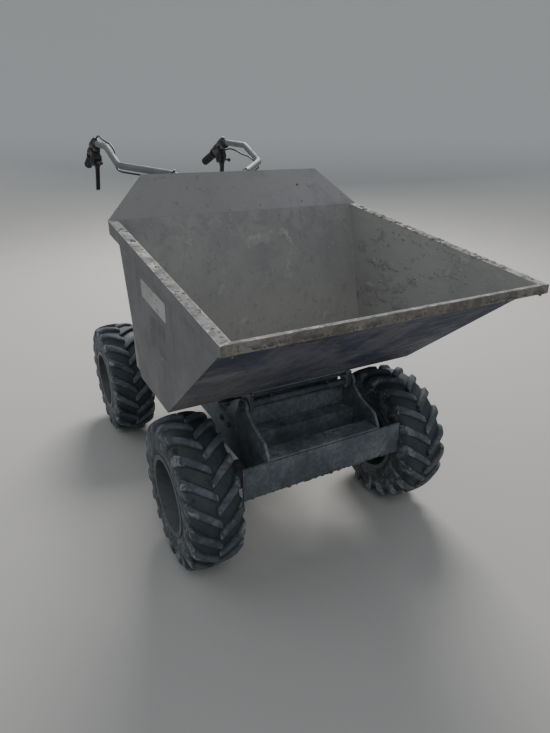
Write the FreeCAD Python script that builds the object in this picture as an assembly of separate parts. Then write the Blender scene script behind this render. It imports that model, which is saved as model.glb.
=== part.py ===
import FreeCAD, Part
import math
import os

os.makedirs("parts", exist_ok=True)

V = FreeCAD.Vector

# Driving dimensions, millimetres
# Front of the machine faces -Y, its left side is +X, the ground is Z = 0

# Wheels and axles
wheelbase = 815.0
wheelbase_middle = 17.5
front_track = 656.0
rear_track = 628.0
tyre_radius = 209.0
tyre_width = 146.0
shoulder_drop = 10.0
lug_height = 12.0
lug_count = 19
lug_width = 20.0
lug_sweep = 15.0
rim_flange_radius = 111.5
rim_seat_radius = 101.0
rim_width = 134.0
rim_web = -15.0
spigot_radius = 30.0
hub_radius = 62.0
hub_length = 62.0
shaft_radius = 15.0
shaft_reach = 52.0
shaft_clearance = 0.05
axle_side = 58.0
casing_radius = 66.0
hub_gap = 5.0

# Skip, as heights above the ground and distances along Y
skip_half_width = 378.0
skip_sheet = 4.0
floor_height = 460.6
floor_front = -405.0
floor_rear = -165.0
rim_front = -802.0
rim_rear = -66.0
rim_front_height = 778.0
rim_rear_height = 877.0
lip_width = 20.0
lip_drop = 36.0
lip_return = 17.0
hem_out = 5.0
hem_drop = 19.0
hem_return = 5.0
board_top = 981.0
board_top_y = 2.0
board_top_half = 283.0

# Hinge of the skip
hinge_y = -398.0
hinge_below_floor = 36.6
ear_radius = 22.0
hinge_pin_radius = 10.0

# Chassis
plate_outer = 176.0
plate = 8.0
rail_bottom = 275.0
rail_top = 345.0
nose_y = -541.0
nose_bottom = 238.0
nose_top = 340.0
nose_half = 246.0
tail_reach = 120.0
deck_reach = 405.0
deck_half = 188.0
catch_y = -100.0
catch_z = 400.0

# Drive line
gearbox_length = 140.0
gearbox_neck = 18.0
rear_run = 131.0
drive_radius = 14.0
yoke_length = 36.0

# Engine and what is mounted on it
engine_lead = 60.0
intake_lead = 172.0
intake_rise = 262.0
crank_height = 112.0
crank_half = 95.0
block_reach = 84.0
barrel_tilt = 25.0
fan_radius = 94.0
tank_seat = 226.0
tank_height = 84.0
guard_depth = 48.0

# Handlebar, controls and console
bar_radius = 11.0
bar_bend = 45.0
grip_radius = 16.5
grip_length = 118.0
clamp_back = 177.0
cable_radius = 3.0
console_x = 90.0
post_side = 28.0
seat_gap = 0.2

# The file's origin is half way along the whole machine, this far behind the line Y is drawn from
origin_y = 42.0

front_y = wheelbase_middle - wheelbase / 2
rear_y = wheelbase_middle + wheelbase / 2
# The engine, deck, tail and handlebar stand over the rear axle, the hinge hangs from the floor of the skip
engine_y = rear_y - engine_lead
deck_front = rear_y - deck_reach
tail_y = rear_y + tail_reach
hinge_z = floor_height - hinge_below_floor
gearbox_y1 = rear_y - casing_radius - rear_run - gearbox_neck
gearbox_y0 = gearbox_y1 - gearbox_length
deck_top = rail_top + 6
front_x = front_track / 2
rear_x = rear_track / 2
axle_z = tyre_radius
# Name, side, place across and along, turn of the tread pattern in degrees
lug_down = 180.0 - math.degrees(lug_width / 2 / tyre_radius)
corners = [("front_left", 1, front_x, front_y, lug_down), ("front_right", -1, front_x, front_y, lug_down),
           ("rear_left", 1, rear_x, rear_y, lug_down), ("rear_right", -1, rear_x, rear_y, lug_down)]


def save(shape, name):
    shape = shape.removeSplitter()
    shape.translate(V(0, -origin_y, 0))
    shape.exportStep("parts/" + name + ".step")


def box(x0, x1, y0, y1, z0, z1):
    return Part.makeBox(x1 - x0, y1 - y0, z1 - z0, V(x0, y0, z0))


def prism_x(points, x0, x1):
    ring = [V(x0, y, z) for y, z in points]
    return Part.Face(Part.makePolygon(ring + ring[:1])).extrude(V(x1 - x0, 0, 0))


def prism_y(points, y0, y1):
    ring = [V(x, y0, z) for x, z in points]
    return Part.Face(Part.makePolygon(ring + ring[:1])).extrude(V(0, y1 - y0, 0))


def prism_z(points, z0, z1):
    ring = [V(x, y, z0) for x, y in points]
    return Part.Face(Part.makePolygon(ring + ring[:1])).extrude(V(0, 0, z1 - z0))


def rod_x(x0, x1, y, z, radius):
    return Part.makeCylinder(radius, abs(x1 - x0), V(min(x0, x1), y, z), V(1, 0, 0))


def rod_y(y0, y1, x, z, radius):
    return Part.makeCylinder(radius, y1 - y0, V(x, y0, z), V(0, 1, 0))


def rod_z(z0, z1, x, y, radius):
    return Part.makeCylinder(radius, z1 - z0, V(x, y, z0), V(0, 0, 1))


def rod(start, end, radius):
    run = end - start
    return Part.makeCylinder(radius, run.Length, start, run)


def lathe_x(profile, y, z):
    # profile holds (distance along X, radius) and turns about the X line through (y, z)
    ring = [V(x, y, z + r) for x, r in profile]
    face = Part.Face(Part.makePolygon(ring + ring[:1]))
    return face.revolve(V(0, y, z), V(1, 0, 0), 360)


def knob(at, run, radius):
    # ball grip with three flat-sided turns
    profile = [(-radius, 0), (-radius, radius * 0.45), (-radius * 0.4, radius), (radius * 0.4, radius),
               (radius, radius * 0.5), (radius, 0)]
    ring = [V(r, 0, z) for z, r in profile]
    body = Part.Face(Part.makePolygon(ring + ring[:1])).revolve(V(0, 0, 0), V(0, 0, 1), 360)
    body.Placement = FreeCAD.Placement(at, FreeCAD.Rotation(V(0, 0, 1), run))
    return body


def mirrored(shape):
    return shape.mirror(V(0, 0, 0), V(1, 0, 0))


def joined(shapes):
    return shapes[0].fuse(shapes[1:]) if len(shapes) > 1 else shapes[0]


def rounded_path(points, bend):
    # straight runs joined by tangent arcs of one bend radius
    edges = []
    start = points[0]
    for a, b, c in zip(points, points[1:], points[2:]):
        u = (a - b).normalize()
        w = (c - b).normalize()
        half = u.getAngle(w) / 2
        reach = bend / math.tan(half)
        first = b + u * reach
        last = b + w * reach
        middle = b + (u + w).normalize() * (bend / math.sin(half) - bend)
        edges.append(Part.makeLine(start, first))
        edges.append(Part.Arc(first, middle, last).toShape())
        start = last
    edges.append(Part.makeLine(start, points[-1]))
    return Part.Wire(edges)


def tube(points, bend, radius, bore=0.0):
    path = rounded_path(points, bend)
    run = points[1] - points[0]
    outer = Part.Wire(Part.makeCircle(radius, points[0], run))
    body = path.makePipeShell([outer], True, True)
    if bore:
        inner = Part.Wire(Part.makeCircle(bore, points[0], run))
        body = body.cut(path.makePipeShell([inner], True, True))
    return body


def inset(points, gaps):
    # moves each side of a closed outline inwards by its own gap; the outline runs anticlockwise
    count = len(points)
    lines = []
    for i in range(count):
        (y0, z0), (y1, z1) = points[i], points[(i + 1) % count]
        length = math.hypot(y1 - y0, z1 - z0)
        ny = -(z1 - z0) / length
        nz = (y1 - y0) / length
        lines.append((ny, nz, ny * y0 + nz * z0 + gaps[i]))
    out = []
    for i in range(count):
        a1, b1, c1 = lines[i - 1]
        a2, b2, c2 = lines[i]
        det = a1 * b2 - a2 * b1
        out.append(((c1 * b2 - c2 * b1) / det, (a1 * c2 - a2 * c1) / det))
    return out


# Wheels: a rim with its tyre, bolted to a hub whose stub shaft turns in the axle

def make_rim(side, wheel_x, y):
    half = rim_width / 2
    web = rim_web
    well = rim_seat_radius - 3
    outline = [(-half - 3, well), (-half - 3, rim_flange_radius), (-half, rim_flange_radius),
               (-half, rim_seat_radius), (half, rim_seat_radius), (half, rim_flange_radius),
               (half + 3, rim_flange_radius), (half + 3, well), (web + 12, well - 6), (web + 5, hub_radius + 12),
               (web + 5, spigot_radius), (web, spigot_radius), (web, well)]
    profile = [(side * (wheel_x + a), r) for a, r in outline]
    return lathe_x(profile, y, axle_z)


def make_hub(side, wheel_x, y):
    web = rim_web
    inner = web - hub_length
    outline = [(inner, 0), (inner, 34), (web - 12, 34), (web - 8, hub_radius), (web, hub_radius),
               (web, spigot_radius), (web + 20, spigot_radius - 2), (web + 26, 0)]
    profile = [(side * (wheel_x + a), r) for a, r in outline]
    body = lathe_x(profile, y, axle_z)
    start = wheel_x + inner
    return body.fuse(rod_x(side * (start - shaft_reach), side * (start + 1), y, axle_z, shaft_radius))


def make_tyre(side, wheel_x, y, phase):
    # One lug pitch of one tread half, repeated round the wheel and mirrored with half a pitch of stagger.
    # Columns: distance from the wheel's middle, radius, angle of the lug's centre line, half angle of its width
    pitch = 360.0 / lug_count
    half = rim_width / 2
    wide = tyre_width / 2
    floor = tyre_radius - lug_height
    edge = floor - shoulder_drop - 15
    bulge = (edge + rim_flange_radius) / 2
    top = math.degrees(lug_width / 2 / tyre_radius)
    foot = top * 1.4
    quarter = pitch / 4
    foot_row = [(0.0, floor, 0.0, foot), (wide - 15, floor + 2 - shoulder_drop, -lug_sweep, foot),
                (wide - 4, edge, -lug_sweep, quarter)]
    top_row = [(0.0, tyre_radius, 0.0, top), (wide - 7, tyre_radius - shoulder_drop, -lug_sweep, top)]
    wall_row = [(wide - 4, edge), (wide, bulge), (half, rim_flange_radius + 2), (half, rim_seat_radius + 0.6)]
    faces = []

    def at(u, r, angle, hand):
        t = math.radians(angle)
        return V(side * wheel_x + hand * u, y - r * math.sin(t), axle_z + r * math.cos(t))

    def facet(*points):
        faces.append(Part.Face(Part.makePolygon(list(points) + [points[0]])))

    def fan(points):
        for p, q in zip(points[1:], points[2:]):
            facet(points[0], p, q)

    for k in range(lug_count):
        for hand in (1, -1):
            centre = phase + pitch * (k + (0.5 if hand != side else 0.0))

            def ends(row, turn=0.0):
                u, r, angle, spread = row
                return [at(u, r, centre + turn + angle + e * spread, hand) for e in (-1, 1)]

            f0, f1, f2 = [ends(row) for row in foot_row]
            t0, t1 = [ends(row) for row in top_row]
            n0, n1, n2 = [ends(row, pitch) for row in foot_row]
            u, r, angle, spread = foot_row[0]
            mid = [at(u, r, centre + pitch / 2 + e * spread, hand) for e in (-1, 1)]
            # end wall at the middle, lug top, flanks, outer slope
            facet(f0[0], f0[1], t0[1], t0[0])
            fan([t0[0], t0[1], t1[1], t1[0]])
            for e in (0, 1):
                fan([f0[e], t0[e], t1[e], f1[e]])
                facet(f1[e], t1[e], f2[e])
            fan([t1[0], t1[1], f2[1], f2[0]])
            # groove to the next lug
            fan([f1[1], n1[0], n0[0], mid[1], mid[0], f0[1]])
            fan([f1[1], f2[1], n2[0], n1[0]])
            # sidewall, rim seat
            for a, b in ((f2[0], -lug_sweep - quarter), (f2[1], -lug_sweep + quarter)):
                rings = [[at(wu, wr, centre + turn, hand) for turn in (b, b + 2 * quarter)] for wu, wr in wall_row]
                for (p, q), (m, n) in zip(rings, rings[1:]):
                    fan([p, q, n, m])
                if hand > 0:
                    p, q = rings[-1]
                    over = V(2 * half, 0, 0)
                    facet(p, q, q - over, p - over)
    shell = Part.makeShell(faces)
    shell.sewShape()
    body = Part.makeSolid(shell)
    if body.Volume < 0:
        body.reverse()
    return body


def make_axle(wheel_x, y):
    end = wheel_x + rim_web - hub_length - hub_gap
    half = axle_side / 2
    body = box(-end, end, y - half, y + half, axle_z - half, axle_z + half)
    # centre casing that narrows to both sides, with a boss for the drive shaft
    casing = [(-86, 0), (-86, half + 3), (-52, casing_radius), (-6, casing_radius), (-6, casing_radius + 7),
              (6, casing_radius + 7), (6, casing_radius), (52, casing_radius), (86, half + 3), (86, 0)]
    body = body.fuse(lathe_x(casing, y, axle_z))
    flanges = [rod_x(s * (end - 12), s * end, y, axle_z, 46) for s in (1, -1)]
    body = body.fuse(flanges)
    bore = shaft_radius + shaft_clearance
    return body.cut(joined([rod_x(s * (end - shaft_reach), s * (end + 1), y, axle_z, bore) for s in (1, -1)]))


# Skip: hollow sheet body with a folded rim and a backboard bent rearwards

rim_slope = (rim_rear_height - rim_front_height) / (rim_rear - rim_front)


def rim_height(y):
    return rim_front_height + rim_slope * (y - rim_front)


keeper_z = floor_height + 50


def wall_y(z):
    return floor_rear + (rim_rear - floor_rear) * (z - floor_height) / (rim_rear_height - floor_height)


def make_skip():
    hw = skip_half_width
    t = skip_sheet
    wide = hw + lip_width
    tub = [(rim_front, rim_front_height), (floor_front, floor_height), (floor_rear, floor_height),
           (rim_rear, rim_rear_height)]
    outer = prism_x(tub, -hw, hw)
    hollow = prism_x(inset(tub, [t, t, t, -60.0]), -hw + t, hw - t)

    # folded rim: flat top, upright outer face, return sloping back to the panel; it narrows towards the front
    nose = rim_front - hem_out
    shapes = [outer]
    for s in (1, -1):
        rings = []
        for y, drop, back in ((nose, hem_drop, hem_return), (rim_rear, lip_drop, lip_return)):
            section = [(hw - 2, 0.0), (wide, 0.0), (wide, -drop), (hw, -drop - back), (hw - 2, -drop - back)]
            rings.append(Part.makePolygon([V(s * a, y, rim_height(y) + b) for a, b in section + section[:1]]))
        shapes.append(Part.makeLoft(rings, True, True))
    # hem along the front edge, across both corners
    slope = (rim_front_height - floor_height) / (rim_front - floor_front)
    low = rim_height(nose) - hem_drop
    inner = floor_front + (low - hem_return - floor_height) / slope
    front = [(rim_front + 12, rim_height(rim_front + 12)), (nose, rim_height(nose)), (nose, low), (inner, low - hem_return),
             (inner + 6, low - hem_return)]
    shapes.append(prism_x(front, -wide, wide))
    under = [(nose - 40, low - 40 * slope), (nose - 40, low - 200), (nose + 200, low - 200), (nose + 200, low + 200 * slope)]
    trim = joined([prism_x(under, hw, wide + 10), prism_x(under, -wide - 10, -hw)])
    body = joined(shapes).cut(trim).cut(hollow)

    # backboard: the rear sheet bent back above the rim, with its top corners cut
    rise = math.hypot(board_top_y - rim_rear, board_top - rim_rear_height)
    out_y = (board_top - rim_rear_height) / rise * t
    out_z = -(board_top_y - rim_rear) / rise * t
    wall = math.hypot(rim_rear - floor_rear, rim_rear_height - floor_height)
    down_y = (floor_rear - rim_rear) / wall * 12
    down_z = (floor_height - rim_rear_height) / wall * 12
    in_y = -(rim_rear_height - floor_height) / wall * t
    in_z = (rim_rear - floor_rear) / wall * t
    sheet = [(rim_rear + down_y, rim_rear_height + down_z),
             (rim_rear, rim_rear_height),
             (board_top_y, board_top),
             (board_top_y - out_y, board_top - out_z),
             (rim_rear + in_y, rim_rear_height + in_z),
             (rim_rear + in_y + down_y, rim_rear_height + in_z + down_z)]
    board = prism_x(sheet, -wide, wide)
    for s in (1, -1):
        cut = [(s * wide, rim_rear_height), (s * board_top_half, board_top), (s * board_top_half, board_top + 20),
               (s * (wide + 20), board_top + 20), (s * (wide + 20), rim_rear_height)]
        board = board.cut(prism_y(cut, rim_rear - 40, board_top_y + 40))
    body = body.fuse(board)

    # stiffener under the front edge of the floor, two ribs behind it, keeper of the catch on the rear wall
    lug_x = plate_outer - plate - 6.0
    stiff = [box(-lug_x, lug_x, floor_front + 2, floor_front + 42, floor_height - 14, floor_height)]
    for s in (1, -1):
        x0, x1 = sorted((s * 50, s * 84))
        stiff.append(prism_x([(floor_front + 40, floor_height - 12), (floor_rear - 24, floor_height - 12),
                              (floor_rear - 8, floor_height + 1), (floor_front + 40, floor_height + 1)], x0, x1))
    for x in (-22, 14):
        stiff.append(prism_x([(wall_y(keeper_z - 14) - 2, keeper_z - 14), (wall_y(keeper_z) + 26, keeper_z - 10),
                              (wall_y(keeper_z) + 26, keeper_z + 6), (wall_y(keeper_z + 14) - 2, keeper_z + 14)],
                             x, x + 8))
    stiff.append(rod_x(-22, 22, wall_y(keeper_z) + 18, keeper_z - 2, 6))
    body = body.fuse(stiff)
    for s in (1, -1):
        x0, x1 = sorted((s * lug_x, s * (lug_x - 10)))
        lug = prism_x([(hinge_y - 18, floor_height), (hinge_y - 18, hinge_z), (hinge_y + 18, hinge_z),
                       (hinge_y + 70, floor_height)], x0, x1)
        lug = lug.fuse(rod_x(x0, x1, hinge_y, hinge_z, 18))
        body = body.fuse(lug)
    bore = rod_x(-lug_x - 1, lug_x + 1, hinge_y, hinge_z, hinge_pin_radius + shaft_clearance)
    return body.cut(bore)


def make_hinge_pin():
    outer = plate_outer
    pin = rod_x(-outer - 4, outer + 4, hinge_y, hinge_z, hinge_pin_radius)
    heads = [rod_x(s * (outer), s * (outer + 6), hinge_y, hinge_z, 15) for s in (1, -1)]
    return joined([pin] + heads)


# Chassis: two side plates, front box, cross plates, deck and skip rest

def make_chassis():
    drop = 60.0
    outline = [(nose_y, nose_bottom), (nose_y, nose_top), (nose_y + 21, hinge_z - 52), (hinge_y - 57, hinge_z - 32),
               (hinge_y - ear_radius, hinge_z - 8), (hinge_y, hinge_z), (hinge_y + ear_radius, hinge_z - 4),
               (hinge_y + 70, rail_top), (tail_y, rail_top), (tail_y, rail_bottom),
               (rear_y + drop, rail_bottom), (rear_y + drop - 15, nose_bottom),
               (rear_y - drop + 15, nose_bottom), (rear_y - drop, rail_bottom),
               (floor_rear + 5, rail_bottom), (floor_rear - 10, nose_bottom)]
    inner = plate_outer - plate
    shapes = []
    for s in (1, -1):
        x0, x1 = sorted((s * inner, s * plate_outer))
        side_plate = prism_x(outline, x0, x1)
        shapes.append(side_plate.fuse(rod_x(x0, x1, hinge_y, hinge_z, ear_radius)))
    span = inner + 1
    # front plate across both side plates, a ledge between them with a slit under it, folded plate at the hinge
    shapes.append(box(-nose_half, nose_half, nose_y - 3, nose_y + 3, nose_bottom + 2, nose_top - 9))
    shapes.append(box(-span, span, nose_y - 3, nose_y + 48, nose_top - 6, nose_top))
    shapes.append(box(-span, span, hinge_y - 28, hinge_y - 22, rail_bottom + 5, rail_top))
    shapes.append(box(-span, span, hinge_y - 28, hinge_y + 13, rail_top - 6, rail_top))
    # saddles over the axles
    for y in (front_y, rear_y):
        for s in (1, -1):
            x0, x1 = sorted((s * 118, s * span))
            shapes.append(box(x0, x1, y - 38, y + 38, nose_bottom, nose_bottom + 8))
            shapes.append(box(x0, x1, y - 4, y + 4, nose_bottom, rail_bottom + 20))
    # rest for the skip
    y = floor_rear
    shapes.append(box(-span, span, y - 35, y + 5, rail_top - 40, rail_top))
    for s in (1, -1):
        x0, x1 = sorted((s * 110, s * 150))
        shapes.append(box(x0, x1, y - 30, y, rail_top - 1, floor_height - 18))
    # cheeks that carry the catch of the skip
    for x in (-20, 8):
        shapes.append(prism_x([(y + 3, rail_top - 39), (y + 3, rail_top), (catch_y - 14, catch_z + 14),
                               (catch_y + 14, catch_z + 14), (catch_y + 14, catch_z - 14), (y + 35, rail_top - 39)],
                              x, x + 12))
    # deck with folded sides and rear plate
    shapes.append(box(-deck_half, deck_half, deck_front, tail_y, rail_top, deck_top))
    for s in (1, -1):
        x0, x1 = sorted((s * (deck_half - 4), s * deck_half))
        shapes.append(box(x0, x1, deck_front, tail_y, rail_top - 22, rail_top + 1))
    shapes.append(box(-span, span, tail_y - 8, tail_y, rail_bottom, rail_top + 1))
    shapes.append(box(-30, 30, tail_y - 1, tail_y + 45, rail_bottom + 20, rail_bottom + 32))
    body = joined(shapes)
    body = body.cut(rod_x(-plate_outer - 1, plate_outer + 1, hinge_y, hinge_z, hinge_pin_radius + shaft_clearance))
    tow = rod_z(rail_bottom + 19, rail_bottom + 33, 0, tail_y + 25, 10)
    pivot = rod_x(-21, 21, catch_y, catch_z, 6 + shaft_clearance)
    return body.cut([tow, pivot])


def make_rest_pads():
    pads = []
    for s in (1, -1):
        x0, x1 = sorted((s * 112, s * 148))
        pads.append(box(x0, x1, floor_rear - 28, floor_rear - 2, floor_height - 18, floor_height))
    return Part.makeCompound(pads)


def make_axle_clamps():
    # cross bolts and strap under each axle beam, tight to the drop brackets
    straps = []
    half = axle_side / 2
    for y in (front_y, rear_y):
        for s in (1, -1):
            x0, x1 = sorted((s * 130, s * 164))
            strap = box(x0, x1, y - half - 8, y + half + 8, axle_z - half - 6, axle_z - half)
            for k in (-1, 1):
                yy = y + k * (half + 4)
                strap = strap.fuse(box(x0 + 6, x1 - 6, yy - 4, yy + 4, axle_z - half - 6, nose_bottom))
            straps.append(strap)
    return Part.makeCompound(straps)


# Catch of the skip, shown let go: hook plate, pull rod and knob on one pivot pin

def make_catch_lever():
    pin = rod_x(-24, 24, catch_y, catch_z, 6)
    hook = prism_x([(catch_y - 12, catch_z - 12), (catch_y - 4, keeper_z - 4), (catch_y - 20, keeper_z + 4),
                    (catch_y - 16, keeper_z + 18), (catch_y + 14, keeper_z + 10), (catch_y + 14, catch_z - 12)], -5, 5)
    foot = V(0, catch_y + 4, keeper_z)
    top = V(0, catch_y + 108, keeper_z + 150)
    return joined([pin, hook, rod(foot, top, 6), knob(top, top - foot, 14)])


# Drive: gearbox under the deck and shafts to both axles

def make_gearbox():
    low = axle_z - 55
    profile = [(-55, low + 14), (-41, low), (41, low), (55, low + 14), (55, rail_top - 40), (44, rail_top),
               (-44, rail_top), (-55, rail_top - 40)]
    body = prism_y(profile, gearbox_y0, gearbox_y1)
    seam = box(-61, 61, gearbox_y0 + 50, gearbox_y0 + 62, low - 6, rail_top - 40)
    neck = rod_y(gearbox_y0 - gearbox_neck, gearbox_y1 + gearbox_neck, 0, axle_z, 34)
    ribs = [box(-58, 58, gearbox_y0 + y, gearbox_y0 + y + 6, low + 14, rail_top - 50) for y in (16, 84, 108)]
    return body.fuse([seam, neck] + ribs)


def make_drive_shaft(y0, y1):
    yoke = min(yoke_length, (y1 - y0) * 0.4)
    shapes = [rod_y(y0, y1, 0, axle_z, drive_radius)]
    for start, turn in ((y0, 0), (y1 - yoke, 0)):
        shapes.append(rod_y(start, start + yoke, 0, axle_z, drive_radius + 6))
        shapes.append(rod_x(-drive_radius - 14, drive_radius + 14, start + yoke / 2, axle_z, 8))
    return joined(shapes)


# Engine on the deck: crankcase, sloping barrel and head with fins, rocker cover, plug

crank_z = deck_top + crank_height


def hull_of_circles(x, first, second):
    # face round two circles (y, z, radius) with their outer tangents
    gap = math.hypot(second[0] - first[0], second[1] - first[1])
    along = math.atan2(second[1] - first[1], second[0] - first[0])
    lean = math.acos((first[2] - second[2]) / gap)

    def at(c, angle):
        return V(x, c[0] + c[2] * math.cos(angle), c[1] + c[2] * math.sin(angle))

    a, b = at(first, along + lean), at(first, along - lean)
    c, d = at(second, along - lean), at(second, along + lean)
    edges = [Part.Arc(a, at(first, along + math.pi), b).toShape(), Part.makeLine(b, c),
             Part.Arc(c, at(second, along), d).toShape(), Part.makeLine(d, a)]
    return Part.Face(Part.Wire(edges))


def on_barrel(shape):
    # turns a shape built along +Z from the crank's axis onto the sloping barrel
    shape.rotate(V(0, 0, 0), V(1, 0, 0), 90 - barrel_tilt)
    shape.translate(V(0, engine_y, crank_z))
    return shape


def make_engine():
    z = deck_top
    y = engine_y
    r = block_reach
    side = [(y - r, z + 34), (y - r + 20, z + 12), (y + r - 20, z + 12), (y + r, z + 34), (y + r, z + 150),
            (y + r - 34, z + 196), (y - 30, z + 196), (y - r, z + 150)]
    shapes = [prism_x(side, -crank_half, crank_half)]
    shapes.append(box(-crank_half + 6, crank_half - 6, y - r + 6, y + r - 6, z, z + 13))
    shapes += [box(x - 12, x + 12, y - 28, y + r - 34, z + 195, z + tank_seat) for x in (-60, 60)]
    barrel = [box(-44, 44, -42, 42, 60, 206), box(-50, 50, -56, 56, 176, 206), box(-42, 42, -46, 46, 205, 236)]
    barrel += [box(-59, 59, -58, 60, d, d + 3.5) for d in (88, 99, 110, 121, 132, 143, 154, 165, 178, 189, 200)]
    barrel.append(rod(V(-5, 55, 192), V(-5, 96, 192), 10))
    return joined(shapes + [on_barrel(b) for b in barrel])


def make_starter_cover():
    # fan housing and shroud, slots round the rope drum
    x = -crank_half
    profile = [(x, 0), (x, fan_radius), (x - 34, fan_radius), (x - 46, fan_radius - 12), (x - 46, 56),
               (x - 60, 48), (x - 60, 0)]
    body = lathe_x(profile, engine_y, crank_z)
    run = math.radians(barrel_tilt)
    far = (engine_y - 100 * math.cos(run), crank_z + 100 * math.sin(run), 56.0)
    body = body.fuse(hull_of_circles(x, (engine_y, crank_z, fan_radius), far).extrude(V(-30, 0, 0)))
    slots = []
    for i in range(14):
        slot = box(x - 50, x - 40, engine_y - 4, engine_y + 4, crank_z + 60, crank_z + fan_radius - 16)
        slot.rotate(V(x, engine_y, crank_z), V(1, 0, 0), 360.0 / 14 * i)
        slots.append(slot)
    return body.cut(slots)


def make_pull_handle():
    z = crank_z + fan_radius
    x = -crank_half - 17
    body = joined([rod_z(z, z + 10, x, engine_y, 8), rod_y(engine_y - 26, engine_y + 26, x, z + 17, 9)])
    body.rotate(V(x, engine_y, crank_z), V(1, 0, 0), -50)
    return body


def make_fuel_tank():
    z = deck_top + tank_seat
    body = box(-128, 112, engine_y - 62, engine_y + 96, z, z + tank_height)
    upright = [e for e in body.Edges if abs(e.Vertexes[0].Z - e.Vertexes[1].Z) > 1]
    body = body.makeFillet(26, upright)
    rim = [e for e in body.Edges if e.BoundBox.ZMin > z + tank_height - 1]
    body = body.makeChamfer(12, rim)
    return body.fuse(rod_z(z + tank_height - 1, z + tank_height + 8, 30, engine_y + 20, 25))


def make_fuel_cap():
    z = deck_top + tank_seat + tank_height + 8
    grips = [rod_z(z, z + 14, 30 + 29 * math.cos(t), engine_y + 20 + 29 * math.sin(t), 4)
             for t in (math.radians(45 * i) for i in range(8))]
    return joined([rod_z(z, z + 18, 30, engine_y + 20, 29)] + grips)


intake_y = engine_y - intake_lead
box_z = deck_top + intake_rise


def make_carburettor():
    z = deck_top + 178
    bowl = rod_z(z - 6, z + 22, -84, intake_y, 20)
    body = box(-106, -59, intake_y - 22, intake_y + 20, z + 20, z + 56)
    elbow = box(-104, -64, intake_y - 20, intake_y + 18, z + 55, box_z)
    return joined([bowl, body, elbow])


def make_air_cleaner():
    y = intake_y
    base = box(-146, -30, y - 46, y + 84, box_z, box_z + 30)
    lid = box(-150, -26, y - 50, y + 88, box_z + 30, box_z + 84)
    upright = [e for e in lid.Edges if abs(e.Vertexes[0].Z - e.Vertexes[1].Z) > 1]
    lid = lid.makeFillet(16, upright)
    rim = [e for e in lid.Edges if e.BoundBox.ZMin > box_z + 83]
    lid = lid.makeChamfer(9, rim)
    return joined([base, lid, rod_z(box_z + 83, box_z + 94, -88, y + 20, 12)])


def make_silencer():
    y = intake_y
    body = box(24, 150, y - 46, y + 84, box_z, box_z + 80)
    along = [e for e in body.Edges if abs(e.Vertexes[0].X - e.Vertexes[1].X) > 1]
    body = body.makeFillet(22, along)
    elbow = box(59, 92, y - 22, y + 20, box_z - 62, box_z + 1)
    outlet = rod_x(149, 172, y + 50, box_z + 50, 13)
    body = joined([body, elbow, outlet])
    slots = [box(34 + 16 * i, 42 + 16 * i, y - 30, y + 68, box_z + 76, box_z + 81) for i in range(7)]
    return body.cut(slots + [rod_x(151, 173, y + 50, box_z + 50, 10)])


def make_belt_guard():
    x = crank_half
    small = (gearbox_y0 + gearbox_length / 2, deck_top + 58, 58.0)
    body = hull_of_circles(x, (engine_y, crank_z, 66.0), small).extrude(V(guard_depth, 0, 0))
    raised = hull_of_circles(x + guard_depth - 1, (engine_y, crank_z, 50.0), small[:2] + (42.0,)).extrude(V(7, 0, 0))
    slots = []
    for i in range(6):
        y = small[0] + 24 + 28 * i
        z = small[1] + (y - small[0]) * (crank_z - small[1]) / (engine_y - small[0])
        slots.append(box(x + guard_depth + 1, x + guard_depth + 7, y, y + 9, z - 26, z + 26))
    return joined([body, raised]).cut(slots)


# Handlebar and console: corners of the bar on the left side, mirrored to the right, Y from the front of the deck

bar_corners = [(70.0, 90.0, 925.0), (128.0, 167.0, 967.0), (259.0, 329.0, 989.5), (263.0, 459.0, 1042.0),
               (259.0, 620.0, 1050.0), (256.0, 861.0, 969.0)]
bar_points = [(x, deck_front + y, z) for x, y, z in bar_corners]


def make_handlebar():
    right = [V(*p) for p in bar_points]
    left = [V(-p.x, p.y, p.z) for p in right]
    return tube(left[::-1] + right, bar_bend, bar_radius)


def bar_end(s):
    a = V(*bar_points[-2])
    b = V(*bar_points[-1])
    run = (b - a).normalize()
    return V(s * b.x, b.y, b.z), V(s * run.x, run.y, run.z)


def make_grips():
    grips = []
    for s in (1, -1):
        end, run = bar_end(s)
        outer = rod(end - run * grip_length, end + run * 5, grip_radius)
        collar = rod(end - run * grip_length, end - run * (grip_length - 5), grip_radius + 5)
        grips.append(outer.fuse(collar).cut(rod(end - run * (grip_length + 1), end, bar_radius)))
    return Part.makeCompound(grips)


def make_lever_clamps():
    clamps = []
    for s in (1, -1):
        end, run = bar_end(s)
        at = end - run * clamp_back
        slope = math.degrees(math.atan2(run.z, run.y))
        ring = rod(at - run * 15, at + run * 26, bar_radius + 7)
        perch = prism_x([(-20, -bar_radius - 2), (-22, -38), (-10, -50), (28, -50), (30, -bar_radius - 2)], -14, 14)
        stop = box(-6, 6, -16, 0, bar_radius + 2, bar_radius + 17)
        body = perch.fuse(stop)
        body.rotate(V(0, 0, 0), V(1, 0, 0), slope)
        pin = rod_y(-90, -20, 0, -41, 4).fuse(knob(V(0, -90, -41), V(0, 1, 0), 7))
        body = body.fuse(pin)
        body.translate(at)
        clamps.append(ring.fuse(body).cut(rod(at - run * 40, at + run * 40, bar_radius)))
    return Part.makeCompound(clamps)


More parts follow.
